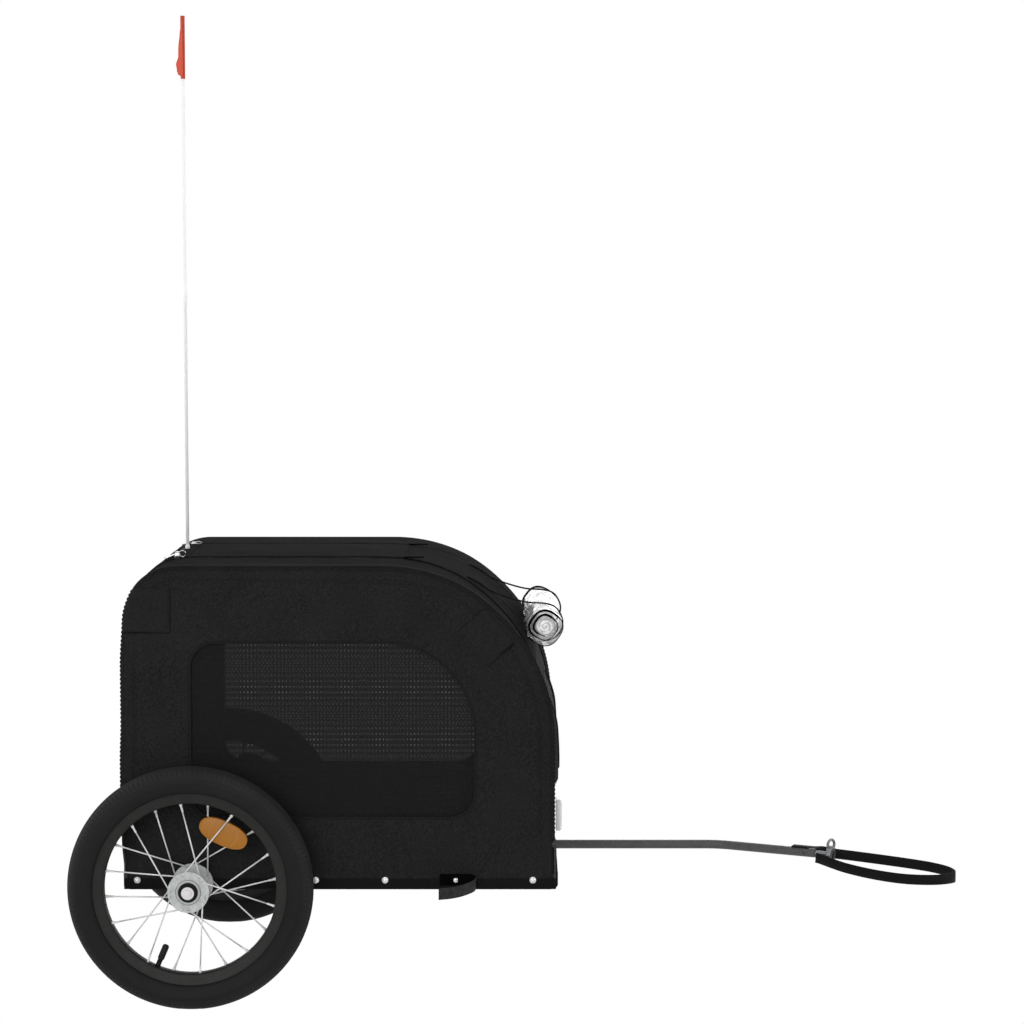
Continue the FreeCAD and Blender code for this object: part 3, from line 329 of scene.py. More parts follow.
def stitch_shape(path, pitch=5 * MM, length=3.4 * MM, radius=0.45 * MM):
    """A row of stitches along a path."""
    ends = np.array([-0.5, -0.32, 0.32, 0.5])[:, None] * length
    widths = np.array([0.3, 1, 1, 0.3]) * radius
    return joined([tube_shape(point + ends * way, widths, 5) for point, way in zip(*spaced(path, pitch))])


def rounded_loop(x0, x1, z0, z1, radii, steps=12):
    """A rectangle with a radius at each corner: lower rear, upper rear, upper front and lower front."""
    corners = ((x0, z0, 1, 1, 1.5), (x0, z1, 1, -1, 1.0), (x1, z1, -1, -1, 0.5), (x1, z0, -1, 1, 0.0))
    loop = []
    for (x, z, way_x, way_z, start), radius in zip(corners, radii):
        for k in range(steps + 1):
            turn = math.pi * (start - 0.5 * k / steps)
            loop.append((x + way_x * radius + radius * math.cos(turn),
                         z + way_z * radius + radius * math.sin(turn)))
    return np.array(loop)


def dense(loop, step=2 * MM):
    """A closed loop with points added along its straight runs."""
    out = []
    for a, b in zip(loop, np.roll(loop, -1, 0)):
        count = max(1, int(np.linalg.norm(b - a) / step))
        out += [a + (b - a) * k / count for k in range(count)]
    return np.array(out)


def toward(loop, centre, points):
    """Where rays from a centre through points cross a loop round it."""
    spokes = loop - centre
    angle = np.arctan2(spokes[:, 1], spokes[:, 0])
    order = np.argsort(angle)
    ray = points - centre
    reach = np.interp(np.arctan2(ray[:, 1], ray[:, 0]), angle[order], np.hypot(*spokes.T)[order],
                      period=FULL_TURN)
    return centre + unit(ray) * reach[:, None]


def made(name, shape, material, smooth=True):
    """A mesh object from a shape."""
    points, faces = shape
    mesh = bpy.data.meshes.new(name)
    mesh.from_pydata(np.asarray(points).tolist(), [], faces)
    mesh.materials.append(material)
    mesh.polygons.foreach_set("use_smooth", [smooth] * len(mesh.polygons))
    mesh.update()
    piece = bpy.data.objects.new(name, mesh)
    bpy.context.scene.collection.objects.link(piece)
    return piece


def second_material(piece, material, faces):
    """Gives the faces marked with one a second material."""
    piece.data.materials.append(material)
    piece.data.polygons.foreach_set("material_index", [int(face) for face in faces])
    return piece


def made_net(name, net, ribbons, gauze):
    """A net with its own material on the holes."""
    shape, holes = net
    return second_material(made(name, shape, ribbons, False), gauze, holes)


def thickened(piece, thickness, offset=-1.0):
    """Gives a sheet its thickness, against its normals unless the offset says otherwise."""
    solid = piece.modifiers.new("thickness", "SOLIDIFY")
    solid.thickness = thickness
    solid.offset = offset
    return piece


def dress(piece, body, replaces=(), fold=None):
    """Parents a piece to its body and hides the solids it stands for; with a fold side, the piece gets a mesh
    of its own.
    """
    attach(piece, body)
    if replaces:
        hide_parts(*replaces)
    if fold:
        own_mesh(piece)
    return piece


def add(name, shape, material, body, replaces=(), fold=None, smooth=True):
    """A dressed piece from a shape."""
    return dress(made(name, shape, material, smooth), body, replaces, fold)


def uneven(points, size, amount):
    """A smooth, repeatable unevenness for each point."""
    flat = np.asarray(points, float).reshape(-1, 3) / size
    return np.array([noise.noise(Vector(p)) for p in flat]).reshape(np.shape(points)[:-1]) * amount


# Materials


def linear(code):
    """A colour written as six hex digits, in the linear values that shaders use."""
    values = [int(code[i:i + 2], 16) / 255 for i in (0, 2, 4)]
    return [v / 12.92 if v <= 0.04045 else ((v + 0.055) / 1.055) ** 2.4 for v in values]


def toned(code, share):
    return [min(1.0, v * share) for v in linear(code)]


class Nodes:
    """Short ways to add and join the nodes of one shader tree."""

    def __init__(self, tree):
        self.tree = tree

    def add(self, kind, **settings):
        node = self.tree.nodes.new(kind)
        for key, value in settings.items():
            setattr(node, key, value)
        return node

    def plug(self, node, **inputs):
        """Sets or links inputs by name, or by number after an underscore."""
        for key, value in inputs.items():
            socket = node.inputs[int(key[1:])] if key[1:].isdigit() else node.inputs[key.replace("_", " ")]
            if hasattr(value, "is_output"):
                self.tree.links.new(value, socket)
            else:
                socket.default_value = value
        return node

    def axes(self, vector):
        return self.plug(self.add("ShaderNodeSeparateXYZ"), Vector=vector).outputs

    def math(self, operation, a, b=0.0):
        return self.plug(self.add("ShaderNodeMath", operation=operation), _0=a, _1=b).outputs[0]

    def ranged(self, value, low_to, high_to, low_from=0.3, high_from=0.7):
        node = self.add("ShaderNodeMapRange")
        return self.plug(node, _0=value, _1=low_from, _2=high_from, _3=low_to, _4=high_to).outputs[0]

    def seen(self):
        """One for rays from the camera, by reflection or through clear things, and zero for other rays."""
        rays = self.add("ShaderNodeLightPath").outputs
        value = rays["Is Camera Ray"]
        for kind in ("Is Glossy Ray", "Is Transmission Ray"):
            value = self.math("MAXIMUM", value, rays[kind])
        return value


class Finish(Nodes):
    """One procedural material."""

    def __init__(self, name):
        self.material = bpy.data.materials.new(name)
        self.material.use_nodes = True
        super().__init__(self.material.node_tree)
        self.shader = self.tree.nodes["Principled BSDF"]
        self.coords = self.add("ShaderNodeTexCoord").outputs["Object"]

    def noise(self, scale, detail=3.0, stretch=(1, 1, 1)):
        """Noise with features of about one over scale, stretched along the axes."""
        mapped = self.add("ShaderNodeMapping")
        self.plug(mapped, Vector=self.coords, Scale=[scale * k for k in stretch])
        node = self.plug(self.add("ShaderNodeTexNoise"), Vector=mapped.outputs[0], Scale=1.0, Detail=detail)
        return node.outputs["Fac"]

    def between(self, factor, dark, light):
        node = self.add("ShaderNodeMix", data_type="RGBA")
        return self.plug(node, Factor=factor, _6=(*dark, 1), _7=(*light, 1)).outputs[2]

    def tones(self, factor, code, dark, light):
        return self.between(factor, toned(code, dark), toned(code, light))

    def bump(self, height, strength, distance):
        node = self.plug(self.add("ShaderNodeBump"), Height=height, Strength=strength, Distance=distance)
        self.set(Normal=node.outputs[0])

    def set(self, **values):
        self.plug(self.shader, **values)


FINE_GRAIN = 900
COVER_GLOSS = 0.010
DOOR_GLOSS = 0.05
CORE_PAINTED_GLOW = 0.19           # painted glow on the roll's end, standing in for light that the rolled sheet lets through to it


def plain_finish(name, code, rough, metal=0.0, spread=0.25, grain=60, bump=0.15, specular=0.5, **extra):
    """Painted, plated or moulded surfaces: uneven tone, uneven gloss and a fine grain."""
    f = Finish(name)
    cloud = f.noise(grain, 4.0)
    speck = f.noise(FINE_GRAIN, 2.0)
    f.set(Base_Color=f.tones(f.ranged(cloud, 0, 1), code, 1 - spread, 1 + spread), Metallic=metal)
    f.set(Roughness=f.ranged(speck, max(0.03, rough - 0.08), min(1.0, rough + 0.08)))
    f.set(Specular_IOR_Level=specular, **extra)
    f.bump(speck, bump, 0.2 * MM)
    return f.material


def cloth_finish(name, code, cover, specular, spread=0.4, thread=1.2 * MM):
    """Woven polyester with lighter and darker yarns. A cover's weave runs over roof, front and rear."""
    f = Finish(name)
    x, y, z = f.axes(f.coords)
    if cover:
        bent = f.math("ABSOLUTE", f.math("SUBTRACT", x, 0.15))
        u, v = y, f.math("SUBTRACT", z, bent)
    else:
        u, v = x, z
    warp, weft = [f.math("SINE", f.math("MULTIPLY", way, math.pi / thread)) for way in (u, v)]
    weave = f.math("MULTIPLY", warp, weft)
    streak = f.noise(1.0, 3.0, (300, 650, 300) if cover else (520, 520, 330))
    cloud = f.noise(14.0, 4.0)
    yarn = f.math("ADD", f.ranged(streak, -0.5, 0.5), f.math("MULTIPLY", weave, 0.18))
    tone = f.math("ADD", f.math("ADD", yarn, 0.5), f.ranged(cloud, -0.12, 0.12))
    f.set(Base_Color=f.tones(tone, code, 1 - spread, 1 + spread))
    f.set(Roughness=1.0 if cover else 0.95, Specular_IOR_Level=specular)
    f.bump(f.math("ADD", f.math("MULTIPLY", weave, 0.5), streak), 0.35, 0.25 * MM)
    return f.material


def webbing_finish(name, code, axis, thread=2.2 * MM):
    """Ribbed webbing, with its ribs across one axis."""
    f = Finish(name)
    rib = f.math("SINE", f.math("MULTIPLY", f.axes(f.coords)[axis], FULL_TURN / thread))
    cloud = f.noise(120, 4.0)
    f.set(Base_Color=f.tones(f.ranged(cloud, 0, 1), code, 0.6, 1.5))
    f.set(Roughness=0.8, Specular_IOR_Level=0.15, Sheen_Weight=0.03)
    f.bump(f.math("ADD", rib, cloud), 0.4, 0.3 * MM)
    return f.material


def rubber_finish(name, code):
    """Tyre rubber with a dusty, dull bloom."""
    f = Finish(name)
    cloud = f.noise(9.0, 5.0)
    fine = f.noise(1400.0, 2.0)
    f.set(Base_Color=f.tones(f.ranged(cloud, 0, 1), code, 0.8, 1.2))
    f.set(Roughness=f.ranged(fine, 0.6, 0.8), Specular_IOR_Level=0.12)
    f.bump(fine, 0.2, 0.15 * MM)
    return f.material


def lens_finish(name, code, depth, pitch=2.6 * MM):
    """A moulded reflector: rows of small prisms behind a smooth face."""
    f = Finish(name)
    x, y, z = f.axes(f.coords)
    flat = f.math("ADD", x, y)
    first, second = [f.math("SINE", f.math("MULTIPLY", f.math(way, flat, z), FULL_TURN / pitch))
                     for way in ("ADD", "SUBTRACT")]
    prism = f.math("MULTIPLY", first, second)
    f.set(Base_Color=f.tones(f.ranged(prism, 0, 1, -1, 1), code, 1 - depth, 1.15))
    f.set(Roughness=f.ranged(f.noise(200), 0.16, 0.3), Specular_IOR_Level=0.25, Coat_Weight=0.1)
    f.bump(prism, 0.25, 0.3 * MM)
    return f.material


def sheet_finish(name):
    """Clear flexible sheet, creased and milky in places, with the painted shade of its crumples darkening its
    colour.
    """
    f = Finish(name)
    crease_shade = f.noise(42.0, 6.0, (1, 0.4, 1))
    # Painted shade: where the crumples turn dark, the colour darkens with them.
    f.set(Base_Color=f.between(f.ranged(crease_shade, 0, 1, 0.36, 0.62), (0.12, 0.12, 0.13), (0.84, 0.84, 0.85)))
    f.set(Alpha=f.ranged(crease_shade, 0.85, 0.5, 0.34, 0.6), Roughness=f.ranged(crease_shade, 0.08, 0.3))
    f.set(Specular_IOR_Level=0.5)
    f.bump(crease_shade, 0.5, 1.5 * MM)
    return f.material


def gauze_finish(name, code, closed):
    """The net's fine threads, too fine to draw one by one: a veil that lets some light through."""
    f = Finish(name)
    fine = f.noise(400.0, 2.0)
    f.set(Base_Color=(*toned(code, RIBBON_CLOSED / closed), 1), Roughness=0.95, Specular_IOR_Level=0.05)
    f.set(Alpha=f.ranged(fine, closed - 0.02, closed + 0.02))
    return f.material


def core_finish(name, centre, pitch=6 * MM):
    """The inner turns of the rolled clear sheet, round a line along Y: a spiral of folds, with painted glints
    and shade in its colour and a painted glow.
    """
    f = Finish(name)
    parts = f.axes(f.coords)
    x = f.math("SUBTRACT", parts[0], centre[0])
    z = f.math("SUBTRACT", parts[2], centre[1])
    reach = f.math("SQRT", f.math("ADD", f.math("MULTIPLY", x, x), f.math("MULTIPLY", z, z)))
    crumple = f.noise(95.0, 6.0, (1, 0.25, 1))
    turns = f.math("ADD", f.math("MULTIPLY", reach, FULL_TURN / pitch), f.math("ARCTAN2", z, x))
    layers = f.math("SINE", f.math("ADD", turns, f.math("MULTIPLY", crumple, 7.0)))
    fold = f.math("ADD", f.math("MULTIPLY", layers, 0.11), crumple)
    # The spiral's light and dark turns are painted glints and shade of the folded sheet.
    f.set(Base_Color=f.between(f.ranged(fold, 0, 1, 0.3, 0.6), (0.3, 0.3, 0.31), (0.95, 0.95, 0.95)))
    f.set(Roughness=f.ranged(fold, 0.2, 0.45), Specular_IOR_Level=0.4)
    # Painted glow: the roll's end gives off light of its own.
    f.set(Emission_Color=(1, 1, 1, 1), Emission_Strength=CORE_PAINTED_GLOW)
    f.bump(fold, 0.6, 2 * MM)
    return f.material


CLOTH = cloth_finish("side_cloth", "232323", False, 0.04)
EDGE = cloth_finish("edge_cloth", "202020", False, 0.02)
COVER = cloth_finish("cover_cloth", "1e1e1e", True, COVER_GLOSS)
# The doors' cloth is the cover cloth made lighter and glossier; the lighter tone is painted sheen, for the
# band along the front door seen at a grazing angle.
SHEEN_DOOR_CLOTH = cloth_finish("door_cloth", "262626", True, DOOR_GLOSS)
PATCH = cloth_finish("patch_cloth", "242424", False, 0.04, spread=0.25)
MAT = cloth_finish("mat_cloth", "3a3a3b", True, COVER_GLOSS, spread=0.3)
NET = gauze_finish("net_ribbons", "1f1f1f", RIBBON_CLOSED)
GAUZE = gauze_finish("net_holes", "1f1f1f", HOLE_CLOSED)
# Lighter than the side nets: painted sheen of the doors' nets seen edge-on.
SHEEN_DOOR_NET = gauze_finish("door_net_ribbons", "3a3a3a", DOOR_RIBBON_CLOSED)
SHEEN_DOOR_GAUZE = gauze_finish("door_net_holes", "3a3a3a", HOLE_CLOSED)
WEBBING_X = webbing_finish("webbing", "070707", 0)
TIE_WEBBING = webbing_finish("tie_webbing", "2a2a2a", 2)
ROLL_SHEET = sheet_finish("clear_sheet_outer")
# A lighter copy of the tyre rubber for the tread: painted light caught on the tread.
LIT_TREAD = rubber_finish("tread", "222222")
# Near-black: the roll's bindings and bands, the roof zips and their stops, and painted shade in the gaps by
# the tyre's beads and under the tie strap's free leaf.
LINE = plain_finish("dark_line", "060606", 0.9, spread=0.2, specular=0.02)
# Near-black, for the tubes along the patches' edges: painted shade.
PATCH_EDGE_SHADE = plain_finish("crease_shade", "1a1a1a", 0.9, spread=0.2, specular=0.02)
ZINC = plain_finish("zinc", "b0b3b2", 0.5, metal=0.35, spread=0.16, grain=220, bump=0.08)
# A darker copy of the zinc for the groove at the collar's edge: painted shade.
HUB_GROOVE_SHADE = plain_finish("hub_groove", "787a7a", 0.5, metal=0.35, spread=0.12, grain=220, bump=0.08)
BUTTON = plain_finish("button", "dad8d9", 0.45, metal=0.15, spread=0.05, grain=220, bump=0.05)
SNAP = plain_finish("snap", "d8d8d8", 0.35, metal=0.5, spread=0.08, grain=300, bump=0.06)
# Near-black lining of the hub's recess: painted shade.
HUB_RECESS_SHADE = plain_finish("recess_shade", "070707", 0.6, spread=0.2, specular=0.15)
VALVE = plain_finish("valve", "0e0e0e", 0.6, spread=0.2, specular=0.2)
RING = plain_finish("ring_steel", "707273", 0.35, metal=0.7, spread=0.15, grain=160)
TIP = plain_finish("pole_tip", "f2f2f2", 0.4, spread=0.03)
HEM = plain_finish("hem", "080808", 0.75, spread=0.2, grain=150, specular=0.1)
PIPING = plain_finish("piping", "202020", 0.8, spread=0.15, grain=300, specular=0.06)
THREAD = plain_finish("thread", "151515", 0.8, spread=0.2, grain=900, specular=0.1)
TEETH = plain_finish("zip_teeth", "1a1a1a", 0.4, spread=0.2, specular=0.4)
SLEEVE = plain_finish("pennant_sleeve", "cf5a42", 0.8, spread=0.1, grain=300, specular=0.1)
AMBER_LIGHT = plain_finish("amber_ribs", "b37a35", 0.3, spread=0.1)

FINISHES = {
    "frame_paint": plain_finish("frame_paint", "1f1f20", 0.42, spread=0.2, specular=0.35),
    "cloth": COVER,
    "net": NET,
    "webbing": WEBBING_X,
    "mat": MAT,
    "board": plain_finish("board", "262626", 0.7, grain=30, specular=0.2),
    "tyre": rubber_finish("tyre", "1c1c1c"),
    "tube": rubber_finish("tube", "161616"),
    "rim": plain_finish("rim", "232322", 0.5, spread=0.15, specular=0.16),
    "steel": plain_finish("steel", "dcdcdc", 0.45, metal=0.15, spread=0.06, grain=140, bump=0.05),
    "amber": lens_finish("amber", "a3680f", 0.1),
    "clear_lens": lens_finish("clear_lens", "e6e6e6", 0.12),
    "bar_paint": plain_finish("bar_paint", "505050", 0.45, spread=0.12, grain=80, specular=0.3),
    "chrome": plain_finish("chrome", "a6a7a9", 0.22, metal=0.9, spread=0.12, grain=300, bump=0.06),
    "black_plastic": plain_finish("black_plastic", "1a1a1a", 0.55, spread=0.2, specular=0.3),
    # The rod's faint emission is a painted glow that keeps it pale in shade.
    "pole": plain_finish("pole", "ececec", 0.4, spread=0.04, specular=0.3, Emission_Color=(1, 1, 1, 1),
                         Emission_Strength=0.14),
    "pennant": cloth_finish("pennant_cloth", "eb6952", True, COVER_GLOSS, spread=0.08),
    "clear_sheet": ROLL_SHEET,
    "elastic": plain_finish("elastic", "0e0e0e", 0.7, spread=0.2, grain=600, specular=0.15),
}

# Solids whose finish isn't that of their slot
OWN_FINISH = {
    "right_hub": ZINC,
    "left_hub": ZINC,
    "right_release_button": BUTTON,
    "left_release_button": BUTTON,
    "axle_pins": BUTTON,
    "strap_bolt": FINISHES["bar_paint"],
    "hitch_socket": RING,
}


def paint_frame():
    """Gives each solid of the frame the finish of its slot, or its own."""
    for node in frame["nodes"].values():
        for slot in node.material_slots:
            key = slot.material.name.split(".")[0]
            if key in FINISHES:
                slot.material = FINISHES[key]
    for name, finish in OWN_FINISH.items():
        frame["nodes"][name].material_slots[0].material = finish


# The cabin's outline in side view
MARKS = np.cumsum([0, REAR_C[1] - BOTTOM_Z, REAR_R * math.pi / 2, FRONT_C[0] - REAR_C[0],
                   FRONT_R * math.pi / 2, FRONT_C[1] - BOTTOM_Z])


def ease(value, start, end):
    t = np.clip((np.asarray(value, float) - start) / (end - start), 0, 1)
    return t * t * (3 - 2 * t)


def hump(value, *ends):
    """Grows from zero to one between the first two ends and fades between the last two."""
    return ease(value, *ends[:2]) * (1 - ease(value, *ends[2:]))


def outline(s):
    """Points of the outline and its outward directions, x and z, at lengths from the lower rear corner."""
    s = np.asarray(s, float)
    stretch = [s < mark for mark in MARKS[1:5]]
    turn = np.select(stretch, [0 * s, (s - MARKS[1]) / REAR_R, 0 * s + math.pi / 2,
                               math.pi / 2 + (s - MARKS[3]) / FRONT_R], math.pi)
    out_x, out_z = -np.cos(turn), np.sin(turn)
    x = np.select(stretch, [0 * s + REAR_X, REAR_C[0] + REAR_R * out_x, REAR_C[0] + s - MARKS[2],
                            FRONT_C[0] + FRONT_R * out_x], FRONT_X)
    z = np.select(stretch, [BOTTOM_Z + s, REAR_C[1] + REAR_R * out_z, 0 * s + ROOF_Z,
                            FRONT_C[1] + FRONT_R * out_z], FRONT_C[1] - (s - MARKS[4]))
    low_edge = 1 - ease(z, BOTTOM_Z, BOTTOM_Z + LOW_EDGE)
    rear_in = REAR_TUCK * low_edge - REAR_BELLY * hump(z, BOTTOM_Z, *BELLY_Z)
    rear_in = rear_in + REAR_SHOULDER * hump(z, *SHOULDER_Z)
    front_in = FRONT_IN * (1 - ease(z, *FRONT_IN_Z)) - (FRONT_IN - FRONT_FOOT_IN) * low_edge
    x = x + (s < MARKS[2]) * rear_in - (s > MARKS[3]) * front_in
    return x, z, out_x, out_z


def at_rear(z):
    return z - BOTTOM_Z


def at_roof(x):
    return MARKS[2] + x - REAR_C[0]


def at_front(z):
    """The length along the outline at a height on the front's curve or below it."""
    if z < FRONT_C[1]:
        return MARKS[4] + FRONT_C[1] - z
    return MARKS[3] + FRONT_R * (math.pi / 2 - math.asin((z - FRONT_C[1]) / FRONT_R))


S_REAR_DOOR = (at_rear(DOOR_Z0), at_rear(REAR_DOOR_Z1))
S_FLAP = (at_roof(FLAP_X0), at_roof(FLAP_X1))
S_FRONT_DOOR = (at_front(FRONT_DOOR_Z1), at_front(DOOR_Z0))
S_SAG = [at_front(z) for z in SAG_Z]
S_SWELL = [at_front(z) for z in SWELL_Z]
S_END = MARKS[-1]


def on_cover(s, y, lift):
    """Points on the covers at lengths along the outline, widths y and heights over the cloth."""
    x, z, out_x, out_z = outline(s)
    foot = (1 - ease(z, *FOOT_FADE)) * (1 - ease(np.abs(y), FOOT_HALF, COVER_HALF))
    out = np.where(s < MARKS[2], np.minimum(0, FOOT_REAR_X - x), np.maximum(0, FOOT_FRONT_X - x))
    x = x + foot * out
    lift = lift - FRONT_SAG * hump(s, *S_SAG) * (1 - (y / COVER_HALF) ** 2)
    return points_at(x + out_x * lift, y, z + out_z * lift)


def zip_line(s):
    """Half the width between the zips along the outline: the doors', drawn in to the flap's on the roof."""
    on_roof = hump(s, S_REAR_DOOR[1], *S_FLAP, S_FRONT_DOOR[0])
    wave = sum(tall * np.sin(FULL_TURN * s / length + phase) for tall, length, phase in ZIP_WAVES)
    return DOOR_HALF + (FLAP_HALF - DOOR_HALF) * on_roof + ZIP_GAP + wave * on_roof


def front_bulge(s, share):
    """How far the front door swells, at shares of its width: gently from its top, to a blunt foot."""
    return FRONT_SWELL * hump(s, *S_SWELL) * ease(share, 0, SWELL_EDGE) * ease(1 - share, 0, SWELL_EDGE)


def cover_sheet(name, ends, widths, columns, body, fold, replaces=(), swell=0.0):
    """One sewn piece of the covers between two lengths and two widths, which can be rules of length."""
    s = np.linspace(*ends, max(6, int((ends[1] - ends[0]) / COVER_STEP)))
    share = np.linspace(0, 1, columns)
    near, far = [width(s) if callable(width) else np.full(len(s), width) for width in widths]
    y = near[:, None] + (far - near)[:, None] * share
    s_grid = np.repeat(s[:, None], columns, 1)
    edge = np.sin(math.pi * np.linspace(0, 1, len(s)))[:, None] * np.sin(math.pi * share)
    lift = swell * edge ** 0.5 + uneven(on_cover(s_grid, y, 0), *COVER_UNEVEN) * edge ** 0.3
    piece = made(name, grid_shape(on_cover(s_grid, y, lift)), COVER)
    return dress(thickened(piece, COVER_CLOTH), body, replaces, fold)


def cover_pieces():
    """Strips that go with the sides, pieces between the zips, and bands along the foot."""
    edge = COVER_HALF - 6 * MM
    for name, side in SIDES.items():
        widths = (lambda s: side * zip_line(s), side * edge)
        strip = cover_sheet(name + "_cover_strip", (FOOT, S_END - FOOT), widths, 14, "base", name,
                            ("roof_cover", "front_cover", "rear_cover"))
    for name, start in (("rear", 0), ("front", S_END - FOOT)):
        band = cover_sheet(name + "_foot_cloth", (start, start + FOOT), (-edge, edge), 40, "base", None,
                           (name + "_cover",))
    middles = (
        ("rear_sill_cloth", FOOT, S_REAR_DOOR[0]),
        ("rear_top_cloth", S_REAR_DOOR[1], S_FLAP[0]),
        ("front_top_cloth", S_FLAP[1], S_FRONT_DOOR[0]),
        ("front_sill_cloth", S_FRONT_DOOR[1], S_END - FOOT),
    )
    for name, s0, s1 in middles:
        piece = cover_sheet(name, (s0, s1), (lambda s: -zip_line(s), zip_line), 40, "base", "right")
    flap = cover_sheet("roof_flap_cloth", S_FLAP, (-FLAP_HALF, FLAP_HALF), 30, "roof_flap", "right",
                       ("roof_flap",), DOOR_PUFF)
    for node, marks in (("front_door", S_FRONT_DOOR), ("rear_door", S_REAR_DOOR)):
        net_door(node, marks)
        door_zips(node, marks)
    for name, side in SIDES.items():
        roof_zip(name, side)


def net_shape(u_ends, v_ends, place):
    """One layer of net over a rectangle: ribbons both ways and the holes between them.

    Place turns the two values into points. Returns the shape and, for each face, whether it is a hole.
    """
    lines = []
    for (first, last), pitch, ribbon in zip((u_ends, v_ends), NET_PITCH, NET_RIBBON):
        starts = np.arange(first, last, pitch)
        lines.append(np.sort(np.concatenate([starts, starts + ribbon])))
    points, faces = grid_shape(place(*np.meshgrid(*lines, indexing="ij")))
    columns = len(lines[1])
    holes = [(f[0] // columns) % 2 == 1 and (f[0] % columns) % 2 == 1 for f in faces]
    return (points, faces), holes


def net_door(node, marks):
    """A door: a cloth border with piping round a net."""
    front = node == "front_door"
    net_s = (marks[0] + DOOR_FIRST_BORDER, at_front(FRONT_NET_Z) if front else marks[1] - REAR_TOP_BORDER)

    def lifted(s, y, rise=0.0):
        """Points over the door, which swells between its edges."""
        share = (y + DOOR_HALF) / (2 * DOOR_HALF)
        along = np.clip((s - marks[0]) / (marks[1] - marks[0]), 0, 1)
        swell = DOOR_PUFF * np.sqrt(np.sin(math.pi * along) * np.clip(np.sin(math.pi * share), 0, 1))
        return on_cover(s, y, swell + (front_bulge(s, share) if front else 0) + rise)

    def loop(ends, inset, radius, steps):
        return rounded_loop(*ends, inset - DOOR_HALF, DOOR_HALF - inset, (radius,) * 4, steps)

    outer = dense(loop(marks, 0, DOOR_R, 3), 7 * MM)
    hole = loop(net_s, DOOR_BORDER, DOOR_NET_R, 10)
    inner = toward(dense(hole), np.array([sum(net_s) / 2, 0]), outer)
    rows = [lifted(*(outer + (inner - outer) * t).T) for t in np.linspace(0, 1, 25)]
    cloth = thickened(made(node + "_cloth", ring_shape(rows[::-1]), SHEEN_DOOR_CLOTH), COVER_CLOTH)
    dress(cloth, node, (node,), "right")
    half = DOOR_HALF - DOOR_BORDER + DOOR_NET_LAP
    net = net_shape((net_s[0] - DOOR_NET_LAP, net_s[1] + DOOR_NET_LAP), (-half, half),
                    lambda s, y: lifted(s, y, -1.5 * MM))
    dress(made_net(node + "_net", net, SHEEN_DOOR_NET, SHEEN_DOOR_GAUZE), node, (), "right")
    piping = tube_shape(lifted(*dense(hole, 6 * MM).T, 0.4 * MM), 1.8 * MM, 8, True)
    add(node + "_piping", piping, PIPING, node, fold="right")
    hem = dense(loop((marks[0] + DOOR_HEM, marks[1] - DOOR_HEM), DOOR_HEM, DOOR_R, 3), 6 * MM)
    add(node + "_stitches", stitch_shape(lifted(*hem.T, 0.3 * MM)), THREAD, node, fold="right")


def zip_teeth(path, across):
    """A zip's teeth along a path, to one side and the other in turn, on its outer face."""
    blocks = []
    for index, (point, way) in enumerate(zip(*spaced(path, TOOTH_PITCH))):
        over = unit(np.asarray(across) - way * np.dot(across, way))
        out = np.cross(way, over)
        out = out if out.dot(point - CABIN_MIDDLE) > 0 else -out
        shift = 0.8 * MM if index % 2 else -0.8 * MM
        blocks.append(box_shape(point + over * shift + out * 0.8 * MM, (way, over, out), TOOTH))
    return joined(blocks)


def add_zip(name, path, across, tape_finish, fold):
    """A zip's tape and the teeth along its middle."""
    add(name + "_zip_tape", ribbon_shape(path, across, *ZIP_TAPE), tape_finish, "base", fold=fold)
    add(name + "_zip_teeth", zip_teeth(path, across), TEETH, "base", fold=fold, smooth=False)


def door_zips(node, marks):
    """Zips down both sides of a door and along its sill."""
    sill = marks[0] if node == "rear_door" else marks[1]
    s = np.linspace(*marks, 60)
    for name, side in SIDES.items():
        path = on_cover(s, side * (DOOR_HALF + ZIP_GAP / 2), ZIP_LIFT)
        add_zip(name + "_" + node, path, (0, 1, 0), HEM, name)
    path = on_cover(np.full(60, sill), np.linspace(-DOOR_HALF, DOOR_HALF, 60), ZIP_LIFT)
    add_zip(node + "_sill", path, (0, 0, 1), HEM, "right")


def roof_zip(name, side):
    """The zip along one edge of the roof flap, open in two places where its teeth show."""
    s = np.linspace(S_FLAP[0] - 40 * MM, S_FLAP[1] + 8 * MM, 120)
    path = on_cover(s, side * (zip_line(s) - ZIP_GAP / 2), ZIP_LIFT)
    add_zip(name + "_roof", path, (0, 1, 0), LINE, name)
    edge = FLAP_HALF + 2 * MM
    shapes = []
    for x0, x1 in OPEN_ZIPS:
        run = np.linspace(x0, x1, 16)
        bow = 3 * MM * np.sin(math.pi * (run - x0) / (x1 - x0))
        shapes.append(zip_teeth(on_cover(at_roof(run), side * (edge + bow), 1.6 * MM), (0, 1, 0)))
    add(name + "_roof_zip_open", joined(shapes), PIPING, "base", fold=name, smooth=False)
    stop = box_shape((ZIP_STOP_X, side * edge, ROOF_Z + 1.5 * MM), np.eye(3), ZIP_STOP)
    add(name + "_roof_zip_stop", stop, LINE, "base", fold=name, smooth=False)


# Side panels


def window_loop(grow=0.0):
    return rounded_loop(WINDOW_X0 - grow, WINDOW_X1 + grow, WINDOW_Z0 - grow, WINDOW_Z1 + grow,
                        [r + grow for r in WINDOW_RADII])


